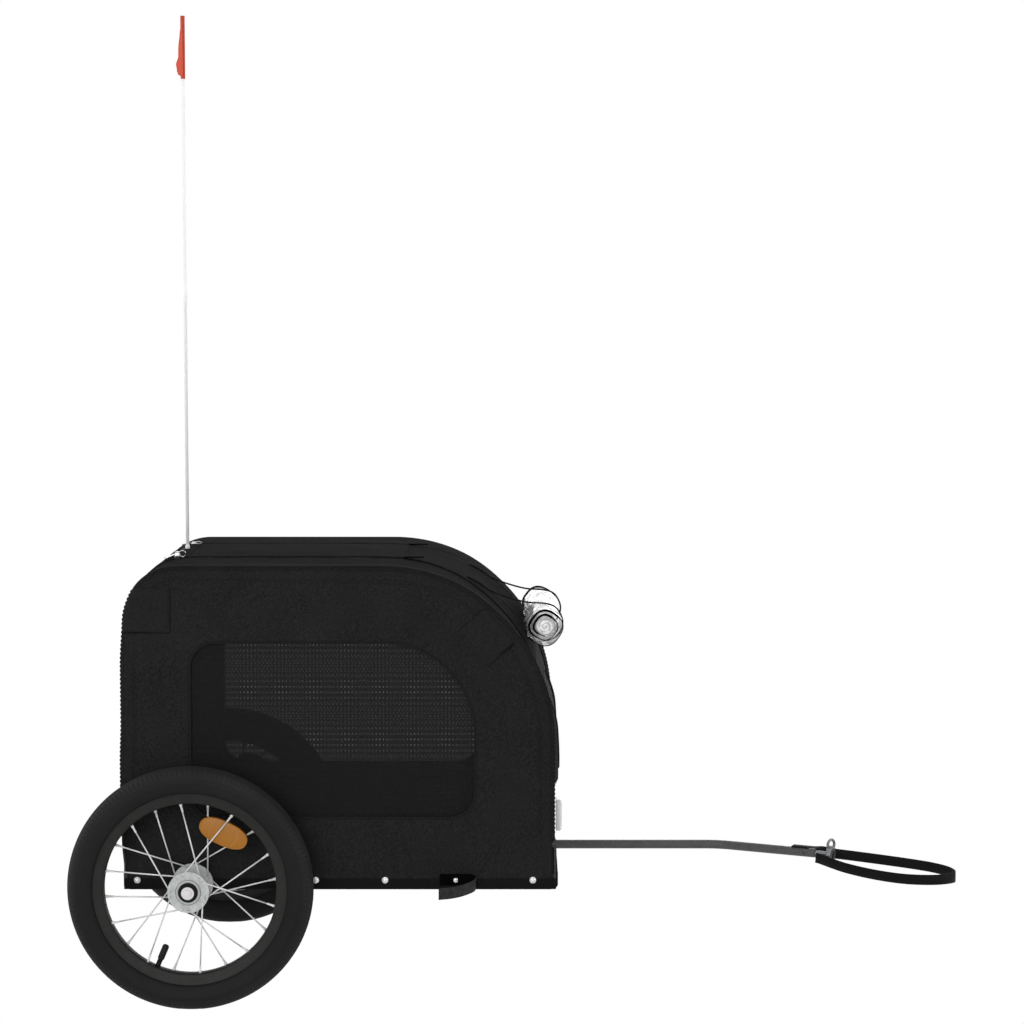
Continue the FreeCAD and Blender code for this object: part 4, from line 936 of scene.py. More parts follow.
def side_rim():
    """The side cloth's outer edge: points, outward directions and the radius of its turn."""
    runs = [np.linspace(start, end, count)[1:] for start, end, count in zip(MARKS, MARKS[1:], RIM_POINTS)]
    s = np.concatenate([MARKS[:1], *runs])
    x, z, out_x, out_z = outline(s)
    roll = EDGE_FLAT + (EDGE_ROLL - EDGE_FLAT) * ease(np.minimum(s, S_END - s), 0, 15 * MM)
    bottom = np.linspace(x[-1], x[0], BOTTOM_POINTS)[1:-1]
    points = np.vstack([np.stack([x, z], 1), np.stack([bottom, np.full(len(bottom), BOTTOM_Z)], 1)])
    ways = np.vstack([np.stack([out_x, out_z], 1), np.tile((0, -1), (len(bottom), 1))])
    return points, ways, np.concatenate([roll, np.full(len(bottom), EDGE_FLAT)])


def side_cloth(name, side):
    """The side's one sheet: from the window's edge to the turned rim, and down over the floor rail."""
    points, ways, roll = side_rim()
    flat_end = points + ways * EDGE_OUT - ways * roll[:, None]
    window = toward(dense(window_loop()), WINDOW_C, points)
    rows = []
    hem = [(90, EDGE_HEM), (90, EDGE_HEM / 2)]
    for angle, back in hem + [(a, 0) for a in range(90, 0, -10)]:
        turn = math.radians(angle)
        flat = flat_end + ways * (roll * math.sin(turn))[:, None]
        deep = roll * (1 - math.cos(turn)) + np.where(roll > 2 * MM, back, 0)
        rows.append(points_at(flat[:, 0], PANEL_Y - deep, flat[:, 1]))
    run = window - flat_end
    length = np.linalg.norm(run, axis=1)
    steps = [np.full(len(points), d) for d in SEAM_STEPS]
    steps += [SEAM_STEPS[-1] + (length - SEAM_STEPS[-1]) * t for t in np.linspace(0, 1, 15)[1:]]
    for d in steps:
        share = d / length
        flat = flat_end + run * share[:, None]
        place = points_at(flat[:, 0], PANEL_Y, flat[:, 1])
        seam = -SEAM_DEEP * np.exp(-((d - SEAM_IN) / SEAM_WIDE) ** 2)
        arch = np.sin(math.pi * np.clip(share, 0, 1))
        fold = uneven(place, *SIDE_FOLDS[0]) + uneven(place * (1, 1, 0.35), *SIDE_FOLDS[1])
        place[:, 1] += seam + SIDE_PUFF * arch ** 0.7 + fold * arch
        rows.append(place)
    rows.append(rows[-1] - (0, WINDOW_LIP, 0))
    shape = faced(ring_shape(np.array(rows) * (1, side, 1)), side)
    piece = made(name + "_side_cloth", shape, CLOTH)
    turned = (len(hem) + 7) * len(points)
    second_material(piece, EDGE, [k < turned for k in range(len(shape[1]))])
    thickened(piece, SIDE_CLOTH)
    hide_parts(name + "_panel", "side_skirts")
    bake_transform(piece)


def side_window(name, side):
    """A side's net, and the piping round its window."""
    x_ends = (WINDOW_X0 - WINDOW_LAP, WINDOW_X1 + WINDOW_LAP)
    z_ends = (WINDOW_Z0 - WINDOW_LAP, WINDOW_Z1 + WINDOW_LAP)
    net = net_shape(x_ends, z_ends, lambda x, z: points_at(x, side * NET_Y, z))
    piece = made_net(name + "_net", net, NET, GAUZE)
    dress(piece, name + "_side", (name + "_window_net",))
    edge = dense(window_loop(1 * MM), 5 * MM)
    path = points_at(edge[:, 0], side * (PANEL_Y + 0.3 * MM), edge[:, 1])
    add(name + "_window_piping", tube_shape(path, 1.5 * MM, 8, True), PIPING, name + "_side")


def side_stitches(name, side):
    """Two rows along the seam, and coarse stitches along the upright parts of the turned edge."""
    s = np.linspace(30 * MM, S_END - 30 * MM, 400)
    x, z, out_x, out_z = outline(s)

    def row(deep, y):
        return points_at(x - out_x * deep, side * y, z - out_z * deep)

    start = HINGE_Z[name] + STITCH_START
    inset = EDGE_ROLL - EDGE_OUT + SEAM_IN
    for index, (deep, out) in enumerate(((inset - SEAM_ROW, 0.5 * MM), (inset + SEAM_ROW, 0.6 * MM))):
        path = row(deep, PANEL_Y + out)
        add("%s_seam_stitches_%d" % (name, index), stitch_shape(path[path[:, 2] > start]), THREAD,
            name + "_side")
    turn = math.radians(EDGE_STITCH_TURN)
    deep = EDGE_ROLL - EDGE_OUT - EDGE_ROLL * math.sin(turn)
    path = row(deep, PANEL_Y - EDGE_ROLL * (1 - math.cos(turn)))
    upright = (path[:, 2] > start) & (np.abs(out_z) < 0.6)
    rows = [stitch_shape(path[upright & half], *EDGE_STITCH) for half in (out_x < 0, out_x > 0)]
    add(name + "_edge_stitches", joined(rows), THREAD, name + "_side")


def corner_patches(name, side):
    """Sewn patches over the hoop's bends: one turned over the rear edge, and one on the front's curve, with
    near-black tubes along some of their edges that paint the shade under them.
    """
    u, v = np.meshgrid(np.linspace(0, 1, 16) ** 1.6, np.linspace(0, 1, 16))
    z = PATCH_REAR[1] + (PATCH_REAR[2] - PATCH_REAR[1]) * v
    bend = np.arcsin(np.clip((z - REAR_C[1]) / REAR_R, 0, 1))
    start, _, out_x, _ = outline(np.where(z < REAR_C[1], at_rear(z), MARKS[1] + REAR_R * bend))
    rear = np.stack([start + (PATCH_REAR[0] - start) * u, z], -1)
    over = np.clip(EDGE_ROLL - EDGE_OUT + (rear[..., 0] - start) * out_x, 0, EDGE_ROLL)
    turned = EDGE_ROLL - np.sqrt(EDGE_ROLL ** 2 - over ** 2)
    way = np.array([math.cos(PATCH_TURN), math.sin(PATCH_TURN)])
    up = np.array([-math.sin(PATCH_TURN), math.cos(PATCH_TURN)])
    front = np.array(PATCH_FRONT) + (u[..., None] - 0.5) * way * PATCH_SIZE[0]
    front = front + (v[..., None] - 0.5) * up * PATCH_SIZE[1]
    patches, shade_lines = [], []
    picks = {"left": (slice(None), 0), "right": (slice(None), -1), "low": (0, slice(None))}
    for flat, drop, edges in ((rear, turned, ("right", "low")), (front, 0 * u, ("left", "right"))):
        rise = PATCH_RISE * np.minimum(1, 9 * np.minimum.reduce([1 + 0 * u, 1 - u, v, 1 - v])) ** 0.5
        points = points_at(flat[..., 0], side * (PANEL_Y + 1 * MM + rise - drop), flat[..., 1])
        patches.append(grid_shape(points if side < 0 else points[:, ::-1]))
        for edge in edges:
            line = points[picks[edge]].copy()
            line[:, 1] = side * (PANEL_Y + 1.7 * MM - drop[picks[edge]])
            shade_lines.append(tube_shape(line, PATCH_SHADE_R, 6))
    patch = thickened(made(name + "_corner_patches", joined(patches), PATCH), PATCH_CLOTH)
    dress(patch, name + "_side")
    add(name + "_patch_edge_shade", joined(shade_lines), PATCH_EDGE_SHADE, name + "_side")


def hem_and_snaps(name, side):
    """The smooth strip along the bottom edge and the snap heads on it."""
    run = np.linspace(REAR_X + 3 * MM, FRONT_X - 3 * MM, 120)
    rows = []
    for rise, out in HEM_PROFILE:
        points = points_at(run, PANEL_Y + out * MM, BOTTOM_Z + rise * MM)
        points[:, 1] += uneven(points, 40 * MM, 0.5 * MM)
        rows.append(points * (1, side, 1))
    hem = made(name + "_hem_strip", grid_shape(rows), HEM)
    dress(thickened(hem, 1.5 * MM, side), "base")
    profile = np.array(SNAP_PROFILE) * MM
    snaps = [lathe_shape(profile, (x, side * (PANEL_Y + 1.8 * MM), SNAP_Z), 20, side) for x in SNAP_X]
    add(name + "_snaps", joined(snaps), SNAP, "base", ("snap_heads",))


# Wheels
WHEEL_Y = 310 * MM
AXLE_Z = 200 * MM
TYRE_C = 178.5 * MM        # radius of the circle along the middle of the tyre's section
TYRE_R = 21.5 * MM
TYRE_STEPS = 600
TYRE_WRAP = 126            # degrees from the tread's middle to the bead, round the section
TREAD_END = 34             # where the ribs end and the blocks begin
BLOCK_END = 66
TREAD_EDGE = 68
WALL_LINE = (88, 93)
RIBS = 42                  # waves in a full turn of the section
RIB_DEEP = 1 * MM
BLOCK_TALL = 1.5 * MM
WALL_LINE_TALL = 0.6 * MM
TYRE_WALL = 2.5 * MM
BEAD_R = 160.6 * MM        # where the tyre's wall meets the rim's lip
BEAD_Y = 15 * MM
RIM_END_R = 142 * MM       # the rim's inner wall, where the spokes end
# The rim, by radius and depth: one side of its outer face, and of the well that the tyre sits in
RIM_FACE = ((160.4, 13.6), (160.0, 15.0), (158.6, 15.2), (157.4, 14.2), (150.5, 12.8), (144.4, 11.4),
            (142.6, 10.4), (RIM_END_R / MM, 8.6))
RIM_WELL = ((150, 9.5), (157.4, 12.4))
SPOKE_R = 1.25 * MM
SPOKES = 20
SPOKE_PHASE = math.radians(6)
SPOKE_CROSS = math.radians(48)
SPOKE_STAGGER = 2.3 * MM
NIPPLE_Y = 3.75 * MM
NIPPLE = np.array([(-15, 1.1), (-14, 1.7), (-5, 1.9), (-4.6, 2.6), (0, 2.6)]) * MM    # place and radius
SPOKE_HEAD = np.array([(-0.5, 1.7), (0.4, 1.7), (0.9, 0.8)]) * MM
HUB_HOLE_R = 29 * MM
HUB_FLANGE_Y = 32 * MM
HUB_FACE_Y = HUB_FLANGE_Y + 2 * MM
# Rings on the hub's face, by radius and depth. The recess ring is near-black and the step ring darker zinc:
# painted shade in the recess and in the groove at the collar's edge.
HUB_RINGS = (
    ("collar", ZINC, ((17.0, 0), (17.0, 1.9), (17.6, 2.3), (19.4, 2.3), (20.0, 1.8), (20.4, 0))),
    ("recess_shade", HUB_RECESS_SHADE, ((16.9, 0.5), (16.9, 1.4), (16.2, 2.2), (14.6, 3.0), (13.4, 8.4), (12.6, 8.9), (10.6, 8.8),
                    (10.5, 8.4))),
    ("step", HUB_GROOVE_SHADE, ((19.7, 2.32), (20.5, 2.34), (20.8, 1.7))),
)
# The valve's cap, by distance from the axle and radius
VALVE_TURN = math.radians(247)
VALVE_CAP = np.array([(146, 4.6), (137, 4.2), (129, 4.2), (128, 5.3), (127, 5.5), (106, 5.5), (104, 4.6),
                      (103, 2.8)]) * MM
LENS_HALF = (42 * MM, 20 * MM)
LENS_TILT = math.radians(-25)
LENS_INSET = 40            # an inset of this much is the lens's middle
# The lens, by its inset from the edge and its rise
LENS_BACK = ((39.9, -1.5), (0.9, -1.2), (0, -2.2))
LENS_FACE = ((0, -2.2), (0.5, -0.9), (1.8, -0.6), (2.2, -1.4), (3.0, -1.3), (8, -0.7), (16, -0.2),
             (39.9, 0))


def in_wheel(radius, turn, depth, side):
    """Points in a wheel at radii, turns and distances along Y from its middle."""
    return points_at(radius * np.cos(turn), side * WHEEL_Y + depth, AXLE_Z + radius * np.sin(turn))


def tyre(name, side):
    """A tyre with a ribbed tread, small blocks along its shoulders and a smooth side wall."""
    section = np.linspace(-TYRE_WRAP, TYRE_WRAP, 61)
    ring = np.arange(TYRE_STEPS)
    profile = [(BEAD_R, -BEAD_Y)]
    for degrees in section:
        bend, reach = math.radians(degrees), abs(degrees)
        rib = -RIB_DEEP * (0.5 - 0.5 * math.cos(bend * RIBS)) ** 3 if reach < TREAD_END else 0.0
        block = np.where((ring % 4 < 2) & (TREAD_END <= reach < BLOCK_END), BLOCK_TALL, 0.0)
        line = WALL_LINE_TALL if WALL_LINE[0] < reach < WALL_LINE[1] else 0.0
        out = TYRE_R + rib + block + line
        profile.append((TYRE_C + out * math.cos(bend), out * math.sin(bend)))
    profile.append((BEAD_R, BEAD_Y))
    where = FULL_TURN * ring / TYRE_STEPS
    rows = [in_wheel(radius, where, depth, side) for radius, depth in profile]
    piece = made(name + "_tyre_rubber", ring_shape(rows), FINISHES["tyre"])
    # The tread's faces take the lighter rubber: painted light.
    second_material(piece, LIT_TREAD, np.abs(np.repeat(np.append(section, TYRE_WRAP), TYRE_STEPS)) < TREAD_EDGE)
    dress(thickened(piece, TYRE_WALL), name + "_wheel", (name + "_tyre",))


def wheel_rim(name, side):
    """A shallow rim with rolled lips, and near-black tubes between them and the tyre that paint the shade in
    the gaps.
    """
    mirrored = [(r, -d) for r, d in RIM_FACE[::-1] + RIM_WELL[::-1]]
    profile = np.array([*RIM_FACE, *mirrored, *RIM_WELL]) * MM
    shape = lathe_shape(profile, (0, side * WHEEL_Y, AXLE_Z), 160, side, True)
    add(name + "_rim_hoop", shape, FINISHES["rim"], name + "_wheel", (name + "_rim",))
    # Near-black tubes in the gaps between the rim's lips and the tyre: painted shade.
    bead_shades = [tube_shape(in_wheel(BEAD_R, full_turn(160), depth, side), 1.2 * MM, 6, True)
             for depth in (-BEAD_Y - 0.6 * MM, BEAD_Y + 0.6 * MM)]
    add(name + "_bead_gap_shade", joined(bead_shades), LINE, name + "_wheel")


def wheel_spokes(name, side):
    """Crossed spokes with their nipples at the rim and their heads on the hub."""
    wires, nipples, heads = [], [], []
    for index in range(SPOKES):
        plane = 1 if index % 2 else -1
        leads = 1 if (index // 2) % 2 else -1
        rim_turn = SPOKE_PHASE + index * FULL_TURN / SPOKES
        hub_turn = rim_turn + leads * SPOKE_CROSS
        head_y = plane * HUB_FLANGE_Y + leads * plane * SPOKE_STAGGER
        head = in_wheel(HUB_HOLE_R, hub_turn, side * head_y, side)
        end = in_wheel(RIM_END_R, rim_turn, side * plane * NIPPLE_Y, side)
        wires.append(tube_shape([head, end], SPOKE_R, 8))
        nipples.append(tube_shape(end + unit(end - head) * NIPPLE[:, :1], NIPPLE[:, 1], 8))
        out = np.array([0, side * leads * plane, 0])
        heads.append(tube_shape(head + out * SPOKE_HEAD[:, :1], SPOKE_HEAD[:, 1], 8))
    body = name + "_wheel"
    add(name + "_spoke_wires", joined(wires), FINISHES["steel"], body, (name + "_spokes",))
    add(name + "_nipples", joined(nipples), FINISHES["steel"], body)
    add(name + "_spoke_heads", joined(heads), ZINC, body)


def hub_and_valve(name, side):
    """Rings on the hub's face, and the valve's cap."""
    for ring, finish, profile in HUB_RINGS:
        profile = np.array(profile) * MM + (0, HUB_FACE_Y)
        shape = lathe_shape(profile, (0, side * WHEEL_Y, AXLE_Z), 64, side)
        add(name + "_hub_" + ring, shape, finish, name + "_wheel")
    valve = tube_shape(in_wheel(VALVE_CAP[:, 0], VALVE_TURN, 0, side), VALVE_CAP[:, 1], 16)
    add(name + "_valve_cap", valve, VALVE, name + "_wheel")


def spoke_lens(name, side):
    """The oval reflector between the spokes: a rim and a crowned lens in three fields."""
    centre = middle(name + "_spoke_reflector")
    deep = high(name + "_spoke_reflector").y - centre[1]
    along = np.array([math.cos(LENS_TILT), 0, math.sin(LENS_TILT)])
    across = np.array([-math.sin(LENS_TILT), 0, math.cos(LENS_TILT)])
    out = np.array([0, side, 0])
    turn = full_turn(72)
    oval_u = np.sign(np.cos(turn)) * np.abs(np.cos(turn)) ** 0.8
    oval_v = np.sign(np.sin(turn)) * np.abs(np.sin(turn)) ** 0.86
    rows = []
    for face, profile in ((-1, LENS_BACK), (1, LENS_FACE)):
        for inset, rise in profile:
            scale = 1 - inset / LENS_INSET
            ring = centre + np.outer(oval_u * LENS_HALF[0] * scale, along)
            ring = ring + np.outer(oval_v * LENS_HALF[1] * scale, across)
            rows.append(ring + out * face * (deep + rise * MM))
    add(name + "_spoke_lens", faced(ring_shape(rows), side), FINISHES["amber"], name + "_wheel",
        (name + "_spoke_reflector",))
    bow = np.linspace(-1, 1, 14)
    bars = []
    for way in (-1, 1):
        line = centre + np.outer(way * (22 + 5 * (1 - bow ** 2) - 3) * MM, along)
        line = line + np.outer(bow * 15 * MM, across) + out * (deep - 0.6 * MM)
        bars.append(tube_shape(line, 0.7 * MM, 6))
    add(name + "_lens_ribs", joined(bars), AMBER_LIGHT, name + "_wheel")


# Rolled rain cover
ROLL_HALF = high("rain_cover_roll").y
ROLL_CENTRE = middle("rain_cover_roll")[[0, 2]]
ROLL_CORE = core_finish("clear_sheet_core", ROLL_CENTRE)
ROLL_TURNS = (-150, -90, 0, 90, 180, 270, 360, 450, 540, 630)
ROLL_RADII = (33, 31, 29, 27, 26.5, 21.5, 20.6, 19.8, 19, 15)
ROLL_SHIFT = (-7.5 * MM, -2.5 * MM)   # the far end lies nearer the cloth, and is a little thinner
ROLL_TAPER = 0.03
ROLL_COLUMNS = 60
ROLL_UNEVEN = (38 * MM, 4 * MM)       # size and height
ROLL_BINDINGS = ((0, 1.25 * MM), (-1, 1.3 * MM))   # the sheet's near and far columns, and their radii
# The roll's inner turns, by their share of the way from its middle to an end, and radius
CORE_PROFILE = ((-1, 0.2), (-0.998, 5), (-1, 9), (-0.99, 13.5), (-0.97, 15), (-0.5, 14), (0, 15), (0.5, 14),
                (0.97, 15), (0.99, 13.5), (1, 9), (0.998, 5), (1, 0.2))


def roll_middle(y):
    """The roll's middle line: its x and z at places along y, and their share of the way to the far end."""
    far = (y + ROLL_HALF) / (2 * ROLL_HALF)
    return ROLL_CENTRE[0] + ROLL_SHIFT[0] * far, ROLL_CENTRE[1] + ROLL_SHIFT[1] * far, far


def rain_roll():
    """The clear sheet rolled in a spiral, its inner turns and the bindings of its ends."""
    turn = np.linspace(ROLL_TURNS[0], ROLL_TURNS[-1], 150)
    radius = np.interp(turn, ROLL_TURNS, ROLL_RADII) * MM
    radius = radius * (1 + 0.04 * np.cos(np.radians(4 * turn - 30)))
    x, z = radius * np.cos(np.radians(turn)), radius * np.sin(np.radians(turn))
    y = np.linspace(-ROLL_HALF, ROLL_HALF, ROLL_COLUMNS)
    mid_x, mid_z, far = roll_middle(y)
    grow = 1 - ROLL_TAPER * far
    grid = points_at(mid_x + np.outer(x, grow), y, mid_z + np.outer(z, grow))
    inner = 1 - np.exp(-((y + ROLL_HALF) / (8 * MM)) ** 2)
    grid[..., 0] += uneven(grid, *ROLL_UNEVEN) * inner
    grid[..., 2] += uneven(grid + 1.7, *ROLL_UNEVEN) * inner
    add("rain_cover_sheet", grid_shape(grid), ROLL_SHEET, "base", ("rain_cover_roll",),
        "right")
    around = full_turn(48)
    rings = []
    for share, radius in CORE_PROFILE:
        mid_x, mid_z, _ = roll_middle(share * ROLL_HALF)
        rings.append(points_at(mid_x + radius * MM * np.cos(around), share * (ROLL_HALF - 4 * MM),
                               mid_z + radius * MM * np.sin(around)))
    add("rain_cover_core", ring_shape(rings), ROLL_CORE, "base", fold="right")
    swell = 0.6 + 0.95 * ease(np.cos(np.radians(turn - 130)), -0.5, 0.4)
    bindings = [tube_shape(grid[:, column], radius * swell, 6) for column, radius in ROLL_BINDINGS]
    add("rain_cover_binding", joined(bindings), LINE, "base", fold="right")


# The ties' route, x and z: off the cover, slack to the roll's top, round its front and back to the cover
TIE_ROUTE = ((452, 693), (473, 682.5), (491, 669.5), (515, 659.5), (551, 649.5), (584, 646.8), (601, 641.5),
             (610.5, 630), (614.8, 616), (612, 601), (604, 590.5), (592, 584), (578, 583), (563, 589),
             (549, 600))
TIE_Y = 105 * MM
TIE_R = 1.5 * MM
TIE_BAND_ARC = np.radians(np.linspace(61, 42, 16))
TIE_BAND_R = FRONT_R + 1.9 * MM
TIE_BAND = (7 * MM, 0.9 * MM)


def rain_ties():
    """Two elastic cords from the cover, over the roll and down behind it, and the bands that hold them."""
    cords, bands = [], []
    for side in SIDES.values():
        line = [(x * MM, side * TIE_Y, z * MM) for x, z in TIE_ROUTE]
        cords.append(tube_shape(smooth_path(line), TIE_R, 7))
        band = points_at(FRONT_C[0] + TIE_BAND_R * np.cos(TIE_BAND_ARC), side * TIE_Y,
                         FRONT_C[1] + TIE_BAND_R * np.sin(TIE_BAND_ARC))
        bands.append(ribbon_shape(band, (0, 1, 0), *TIE_BAND))
    add("rain_cover_cords", joined(cords), FINISHES["elastic"], "base", ("rain_cover_ties",),
        "right")
    add("rain_cover_bands", joined(bands), LINE, "base", fold="right")


# Straps, flag and small fittings

# The safety strap's route from the drawbar's end: ahead, to its left, up, and how far it stands on edge
STRAP_ROUTE = (
    (-45, 4, 9.2, 0), (-24, 5, 9.0, 0), (0, 7, 6, 0.25), (22, 16, -0.5, 0.9), (60, 29, -5, 1),
    (110, 38, -9, 1), (160, 43, -12.5, 1), (205, 42, -15.5, 1), (240, 29, -18, 1), (258, 0, -19.5, 1),
    (242, -30, -19.5, 1), (210, -43, -20.5, 1), (170, -46, -21, 1), (120, -42, -19, 1), (70, -34, -14.5, 1),
    (34, -23, -9.5, 1), (13, -13, -7, 1), (4, -10.4, -6, 1))
STRAP_BAND = (18 * MM, 1.2 * MM)
EYE_AHEAD = 29 * MM
EYE_Z = 17.6 * MM
EYE_R = 9.4 * MM
EYE_WIRE = 2.5 * MM
EYE_STEM_R = 3.2 * MM
EYE_STEM = (2 * MM, 9 * MM)
TIE_STRAP_BAND = (19 * MM, 0.9 * MM)
TIE_STRAP_OUT = 2.8 * MM
FLAG_DROP = 6 * MM
FLAG_BACK = 4 * MM
FLAG_TURN = 7.5 * MM       # the pennant's fly swings this far forward
FLAG_FLY_TALL = 13.5 * MM
# A front reflector's half sizes, and its section by growth and how far it stands out
REFLECTOR_HALF = (19, 26)
REFLECTOR_PROFILE = ((0, -2), (0, 4.5), (-1.5, 6.5), (-3, 7), (-3.6, 6.4), (-5, 7.6), (-18.5, 8))
REFLECTOR_RISE = 115 * MM
REFLECTOR_OUT = 25 * MM    # outward of the door's edge
REFLECTOR_R = 6 * MM
SLIDER_X = -35 * MM        # the front ends of the zip sliders
# The slider's body by height, half width and taper at its ends, and its tab's line, back and up
SLIDER_LEVELS = ((-1, 3.6, 0), (1.2, 4.6, 0), (8.5, 4.6, 0), (11, 3.0, 1.2))
SLIDER_TAB = ((8, 4.5), (15, 2), (25, -2.4))
SLIDER_TALL = {"right": 1.0, "left": 0.4}
MAT_GRID = (90, 64)
MAT_EDGE = 3 * MM          # the pad's height at its edge
MAT_CHANNELS = 14          # sewn lines in two metres, each way


def safety_strap():
    """A loop of webbing: flat on the drawbar's end, then on edge, hanging lower on the trailer's right."""
    joint = next(j for j in frame["joints"] if j["name"] == "hitch_swivel")
    tip, ahead, up = np.array(joint["pos_m"]), unit(joint["axis"]), np.array([0, 0, 1])
    lateral = np.array([-ahead[1], ahead[0], 0])
    line = [tip + (ahead * u + lateral * v + up * w) * MM for u, v, w, _ in STRAP_ROUTE]
    across = [upright * up + (1 - upright) * lateral for *_, upright in STRAP_ROUTE]
    band = ribbon_shape(smooth_path(line, 6), smooth_path(across, 6), *STRAP_BAND)
    add("strap_loop", band, WEBBING_X, "drawbar", ("safety_strap",))
    turn = full_turn(28)
    ring = tip + ahead * EYE_AHEAD + np.outer(EYE_R * np.cos(turn), unit(0.35 * ahead + lateral))
    ring = ring + np.outer(EYE_Z + EYE_R * np.sin(turn), up)
    stem = tip + ahead * EYE_AHEAD + np.outer(EYE_STEM, up)
    eye = joined([tube_shape(ring, EYE_WIRE, 10, True), tube_shape(stem, EYE_STEM_R, 12)])
    add("hitch_eye", eye, RING, "hitch")


def tie_strap():
    """A short strap sewn to the hem, folded at its front end so that its free leaf stands off."""
    x0, x1 = low("tie_strap").x, high("tie_strap").x
    back = -(PANEL_Y + TIE_STRAP_OUT)
    sewn = [(x0, back, 205), (x0 + 0.02, back, 205), (x1 - 0.014, back, 205),
            (x1 - 0.003, back - 0.003, 203)]
    free = [sewn[-1], (x1 - 0.002, back - 0.008, 200), (x1 - 0.006, back - 0.018, 197.5),
            (x1 - 0.022, back - 0.036, 195), (x1 - 0.04, back - 0.05, 194), (x0, back - 0.06, 194)]
    # The sewn end takes the near-black line finish: painted shade under the free leaf.
    for name, line, finish in (("tie_sewn_end_shade", sewn, LINE), ("tie_webbing", free, TIE_WEBBING)):
        path = smooth_path([(x, y, z * MM) for x, y, z in line])
        band = ribbon_shape(path, (0, 0, 1), *TIE_STRAP_BAND)
        add(name, band, finish, "base", ("tie_strap",))


def flag():
    """A rod with a ferrule, its pennant and sleeve, the rod's white foot, and the holder in the roof."""
    bottom, r = low("flag_pole").z, (high("flag_pole").x - low("flag_pole").x) / 2
    x, y, _ = middle("flag_pole") - (FLAG_BACK, 0, 0)
    top = high("pennant").z - FLAG_DROP + 0.5 * MM
    ferrule = bottom + 0.5 * (top - bottom)

    def upright(profile, sides):
        """A tube standing in the flag's place, from heights and radii."""
        return tube_shape([(x, y, z) for z, _ in profile], np.array([radius for _, radius in profile]), sides)

    rod = upright(((bottom, r), (ferrule - 0.02, r), (ferrule - 0.0195, 1.25 * r), (ferrule + 0.02, 1.25 * r),
                   (ferrule + 0.0205, r), (top - 0.003, r), (top - 0.001, 0.75 * r), (top, 0.2 * r)), 20)
    pole = add("flag_rod", rod, FINISHES["pole"], "flag", ("flag_pole",))
    low_corner, high_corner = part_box("pennant")
    hoist = high_corner.z - low_corner.z
    fly = high_corner.y - low_corner.y
    u, v = np.meshgrid(np.linspace(0, 1, 40), np.linspace(0, 1, 24))
    z = low_corner.z - FLAG_DROP + v * (hoist * (1 - u) + FLAG_FLY_TALL * u)
    wave = FLAG_TURN * u + 1.6 * MM * u * np.sin(8 * u + 1.5 * v) + 0.8 * MM * u * np.sin(17 * u)
    points = points_at(x + wave, high_corner.y - u * fly, z)
    cloth = thickened(made("flag_cloth", grid_shape(points), FINISHES["pennant"]), 0.5 * MM, 0.0)
    dress(cloth, "flag", ("pennant",))
    foot = upright(((ROOF_Z - 3 * MM, 0.6 * r), (ROOF_Z - 2 * MM, 1.35 * r), (ROOF_Z + 5 * MM, 1.35 * r),
                    (ROOF_Z + 7 * MM, r)), 16)
    tip = add("flag_tip", foot, TIP, "flag")
    heights = np.linspace(low_corner.z, high_corner.z, 12) - FLAG_DROP
    sleeve = add("flag_sleeve", upright([(z, r + 0.9 * MM) for z in heights], 16), SLEEVE, "flag")
    socket_low, socket_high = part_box("flag_socket")
    outer = (socket_high.x - socket_low.x) / 2
    holder = upright(((socket_low.z, 0.6 * outer), (socket_low.z + 1 * MM, outer),
                      (ROOF_Z - 4 * MM, outer), (ROOF_Z - 3 * MM, 1.7 * outer),
                      (ROOF_Z - 1 * MM, 1.6 * outer), (ROOF_Z, outer)), 24)
    add("flag_holder", holder, FINISHES["black_plastic"], "base", ("flag_socket",),
        "right")
    for piece in (pole, cloth, sleeve, tip):
        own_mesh(piece)


def front_reflectors():
    """Two upright lenses on the front, in their frames."""
    half_y, half_z = REFLECTOR_HALF
    loop = rounded_loop(-half_y * MM, half_y * MM, -half_z * MM, half_z * MM, (REFLECTOR_R,) * 4, 6)
    for name, side in SIDES.items():
        y = side * (DOOR_HALF + REFLECTOR_OUT)
        rings = [points_at(FRONT_X + out * MM, y + loop[:, 0] * (1 + grow / half_y),
                           BOTTOM_Z + REFLECTOR_RISE + loop[:, 1] * (1 + grow / half_z))
                 for grow, out in REFLECTOR_PROFILE]
        add(name + "_front_lens", ring_shape(rings), FINISHES["clear_lens"], "base",
            ("front_reflectors",), name)


def zip_sliders():
    """Chrome sliders at the rear ends of the roof zips, each with an upright ring and a long tab."""
    for name, tall in SLIDER_TALL.items():
        y = middle(name + "_zip_slider")[1]
        base = low(name + "_zip_slider").z
        body = []
        for rise, wide, lead in SLIDER_LEVELS:
            loop = rounded_loop(-8.5 + lead, -lead, -wide, wide, (1.5,) * 4, 4) * MM
            body.append(points_at(SLIDER_X + loop[:, 0], y + loop[:, 1], base + rise * tall * MM))
        points, faces = ring_shape(body)
        faces.append(tuple(range(len(points) - len(body[0]), len(points))))
        turn = full_turn(24)
        ring = points_at(SLIDER_X + 4.4 * MM + 5.4 * MM * np.cos(turn), y - 2 * MM * np.sin(turn),
                         base + (7 * MM + 5.4 * MM * np.sin(turn)) * tall)
        line = [(SLIDER_X - back * MM, y, base + rise * tall * MM) for back, rise in SLIDER_TAB]
        tab = ribbon_shape(smooth_path(line, 5), (0, -1.4 + tall, tall), 7 * MM, 1.2 * MM)
        shape = joined([(points, faces), tube_shape(ring, 1.0 * MM, 8, True), tab])
        add(name + "_zip_pull", shape, FINISHES["chrome"], name + "_zip", (name + "_zip_slider",),
            name)


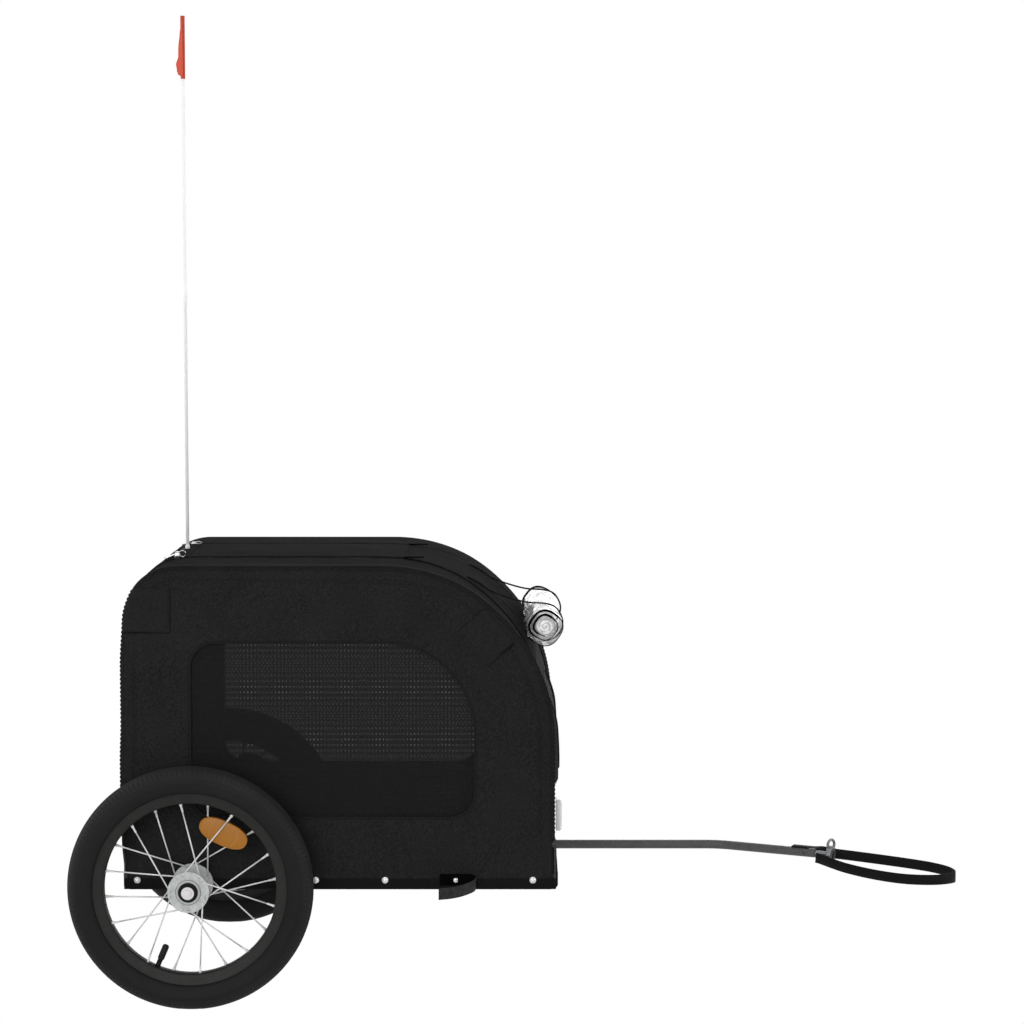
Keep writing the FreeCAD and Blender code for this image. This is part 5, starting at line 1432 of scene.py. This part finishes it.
def floor_mat():
    """A thin pad with sewn channels and a rolled edge."""
    a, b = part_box("floor_mat")
    columns, rows = MAT_GRID
    u, v = np.meshgrid(np.linspace(-1, 1, columns), np.linspace(-1, 1, rows))
    x = (a.x + b.x) / 2 + u * (b.x - a.x) / 2
    y = (a.y + b.y) / 2 + v * (b.y - a.y) / 2
    edge = np.minimum(1 - np.abs(u), (1 - np.abs(v)) * 0.7)
    crown = np.clip(edge * 9, 0, 1) ** 0.5
    lines = (x * MAT_CHANNELS, y * MAT_CHANNELS + 0.5)
    along, across = [np.abs(np.sin(line * math.pi / 2)) ** 0.35 for line in lines]
    top = a.z + MAT_EDGE + (b.z - a.z - MAT_EDGE) * crown * (0.45 + 0.55 * along * across)
    points, faces = joined([grid_shape(points_at(x, y, top)), faced(grid_shape(points_at(x, y, a.z)), -1)])
    number = np.arange(columns * rows).reshape(rows, columns)
    rim = [*number[0], *number[1:, -1], *number[-1, -2::-1], *number[-2:0:-1, 0]]
    rim = [int(k) for k in rim]
    faces += [(p, p + columns * rows, q + columns * rows, q) for p, q in zip(rim, rim[1:] + rim[:1])]
    pad = add("floor_pad", (points, faces), MAT, "base", ("floor_mat",))


# Stage
WHITE = (1, 1, 1, 1)
WORLD_AROUND = 0.5
WORLD_ABOVE = 0.2
FLOOR_RADII = (40.0, 4.0, 1.0, 0.001)
LAMP_AIM = Vector((0.3, 0, 0.5))
LAMPS = (("camera_side", (-0.6, -3.6, 1.5), 2.8, 62.0), ("front", (4.0, -0.6, 1.3), 2.4, 42.0),
         ("rear", (-3.4, 0.4, 1.3), 2.4, 42.0), ("far_side", (0.6, 3.6, 1.3), 2.6, 50.0),
         ("above", (0.2, -0.6, 3.4), 1.8, 10.0))
CAMERA_PLACE = (0.5285, -4.749, 1.189)
CAMERA_TILT = math.radians(85.25)
CAMERA_LENS = 96.36
CAMERA_SENSOR = 36


def studio_world():
    """White for the camera and for reflections. Lights surfaces more from around than from above."""
    world = bpy.data.worlds.new("studio")
    bpy.context.scene.world = world
    world.use_nodes = True
    nodes = Nodes(world.node_tree)
    height = nodes.axes(nodes.add("ShaderNodeTexCoord").outputs["Generated"])[2]
    sky = nodes.ranged(height, WORLD_AROUND, WORLD_ABOVE, 0.1, 0.9)
    level = nodes.ranged(nodes.seen(), sky, 1.0, 0.0, 1.0)
    nodes.plug(nodes.tree.nodes["Background"], Color=WHITE, Strength=level)


def studio_floor():
    """A floor that gives light back and looks plain white."""
    turn = full_turn(96)
    rings = [points_at(0.5 + r * np.cos(turn), r * np.sin(turn), -0.5 * MM) for r in FLOOR_RADII]
    f = Finish("floor")
    f.set(Base_Color=(0.85, 0.85, 0.85, 1), Roughness=0.9, Specular_IOR_Level=0.0)
    white = f.add("ShaderNodeEmission").outputs[0]
    mixed = f.plug(f.add("ShaderNodeMixShader"), _0=f.seen(), _1=f.shader.outputs[0], _2=white)
    f.plug(f.tree.nodes["Material Output"], Surface=mixed.outputs[0])
    made("floor", ring_shape(rings), f.material)


def placed(name, data, location):
    """A lamp or a camera in its place."""
    holder = bpy.data.objects.new(name, data)
    holder.location = location
    bpy.context.scene.collection.objects.link(holder)
    return holder


def stage():
    """World, floor, lamps and the photograph's camera."""
    bpy.context.scene.view_settings.view_transform = "Standard"
    studio_world()
    studio_floor()
    for name, place, size, power in LAMPS:
        lamp = bpy.data.lights.new(name, "AREA")
        lamp.energy = power
        lamp.size = size
        holder = placed(name, lamp, place)
        holder.rotation_mode = "QUATERNION"
        holder.rotation_quaternion = (LAMP_AIM - Vector(place)).to_track_quat("-Z", "Y")
    camera = bpy.data.cameras.new("photo_view")
    camera.lens = CAMERA_LENS
    camera.sensor_width = CAMERA_SENSOR
    holder = placed("photo_view", camera, CAMERA_PLACE)
    holder.rotation_euler = (CAMERA_TILT, 0, 0)
    bpy.context.scene.camera = holder


stage()
paint_frame()
cover_pieces()
for name, side in SIDES.items():
    for build in (side_cloth, side_window, side_stitches, corner_patches, hem_and_snaps, tyre, wheel_rim,
                  wheel_spokes, hub_and_valve, spoke_lens):
        build(name, side)
rain_roll()
rain_ties()
safety_strap()
tie_strap()
flag()
front_reflectors()
zip_sliders()
floor_mat()
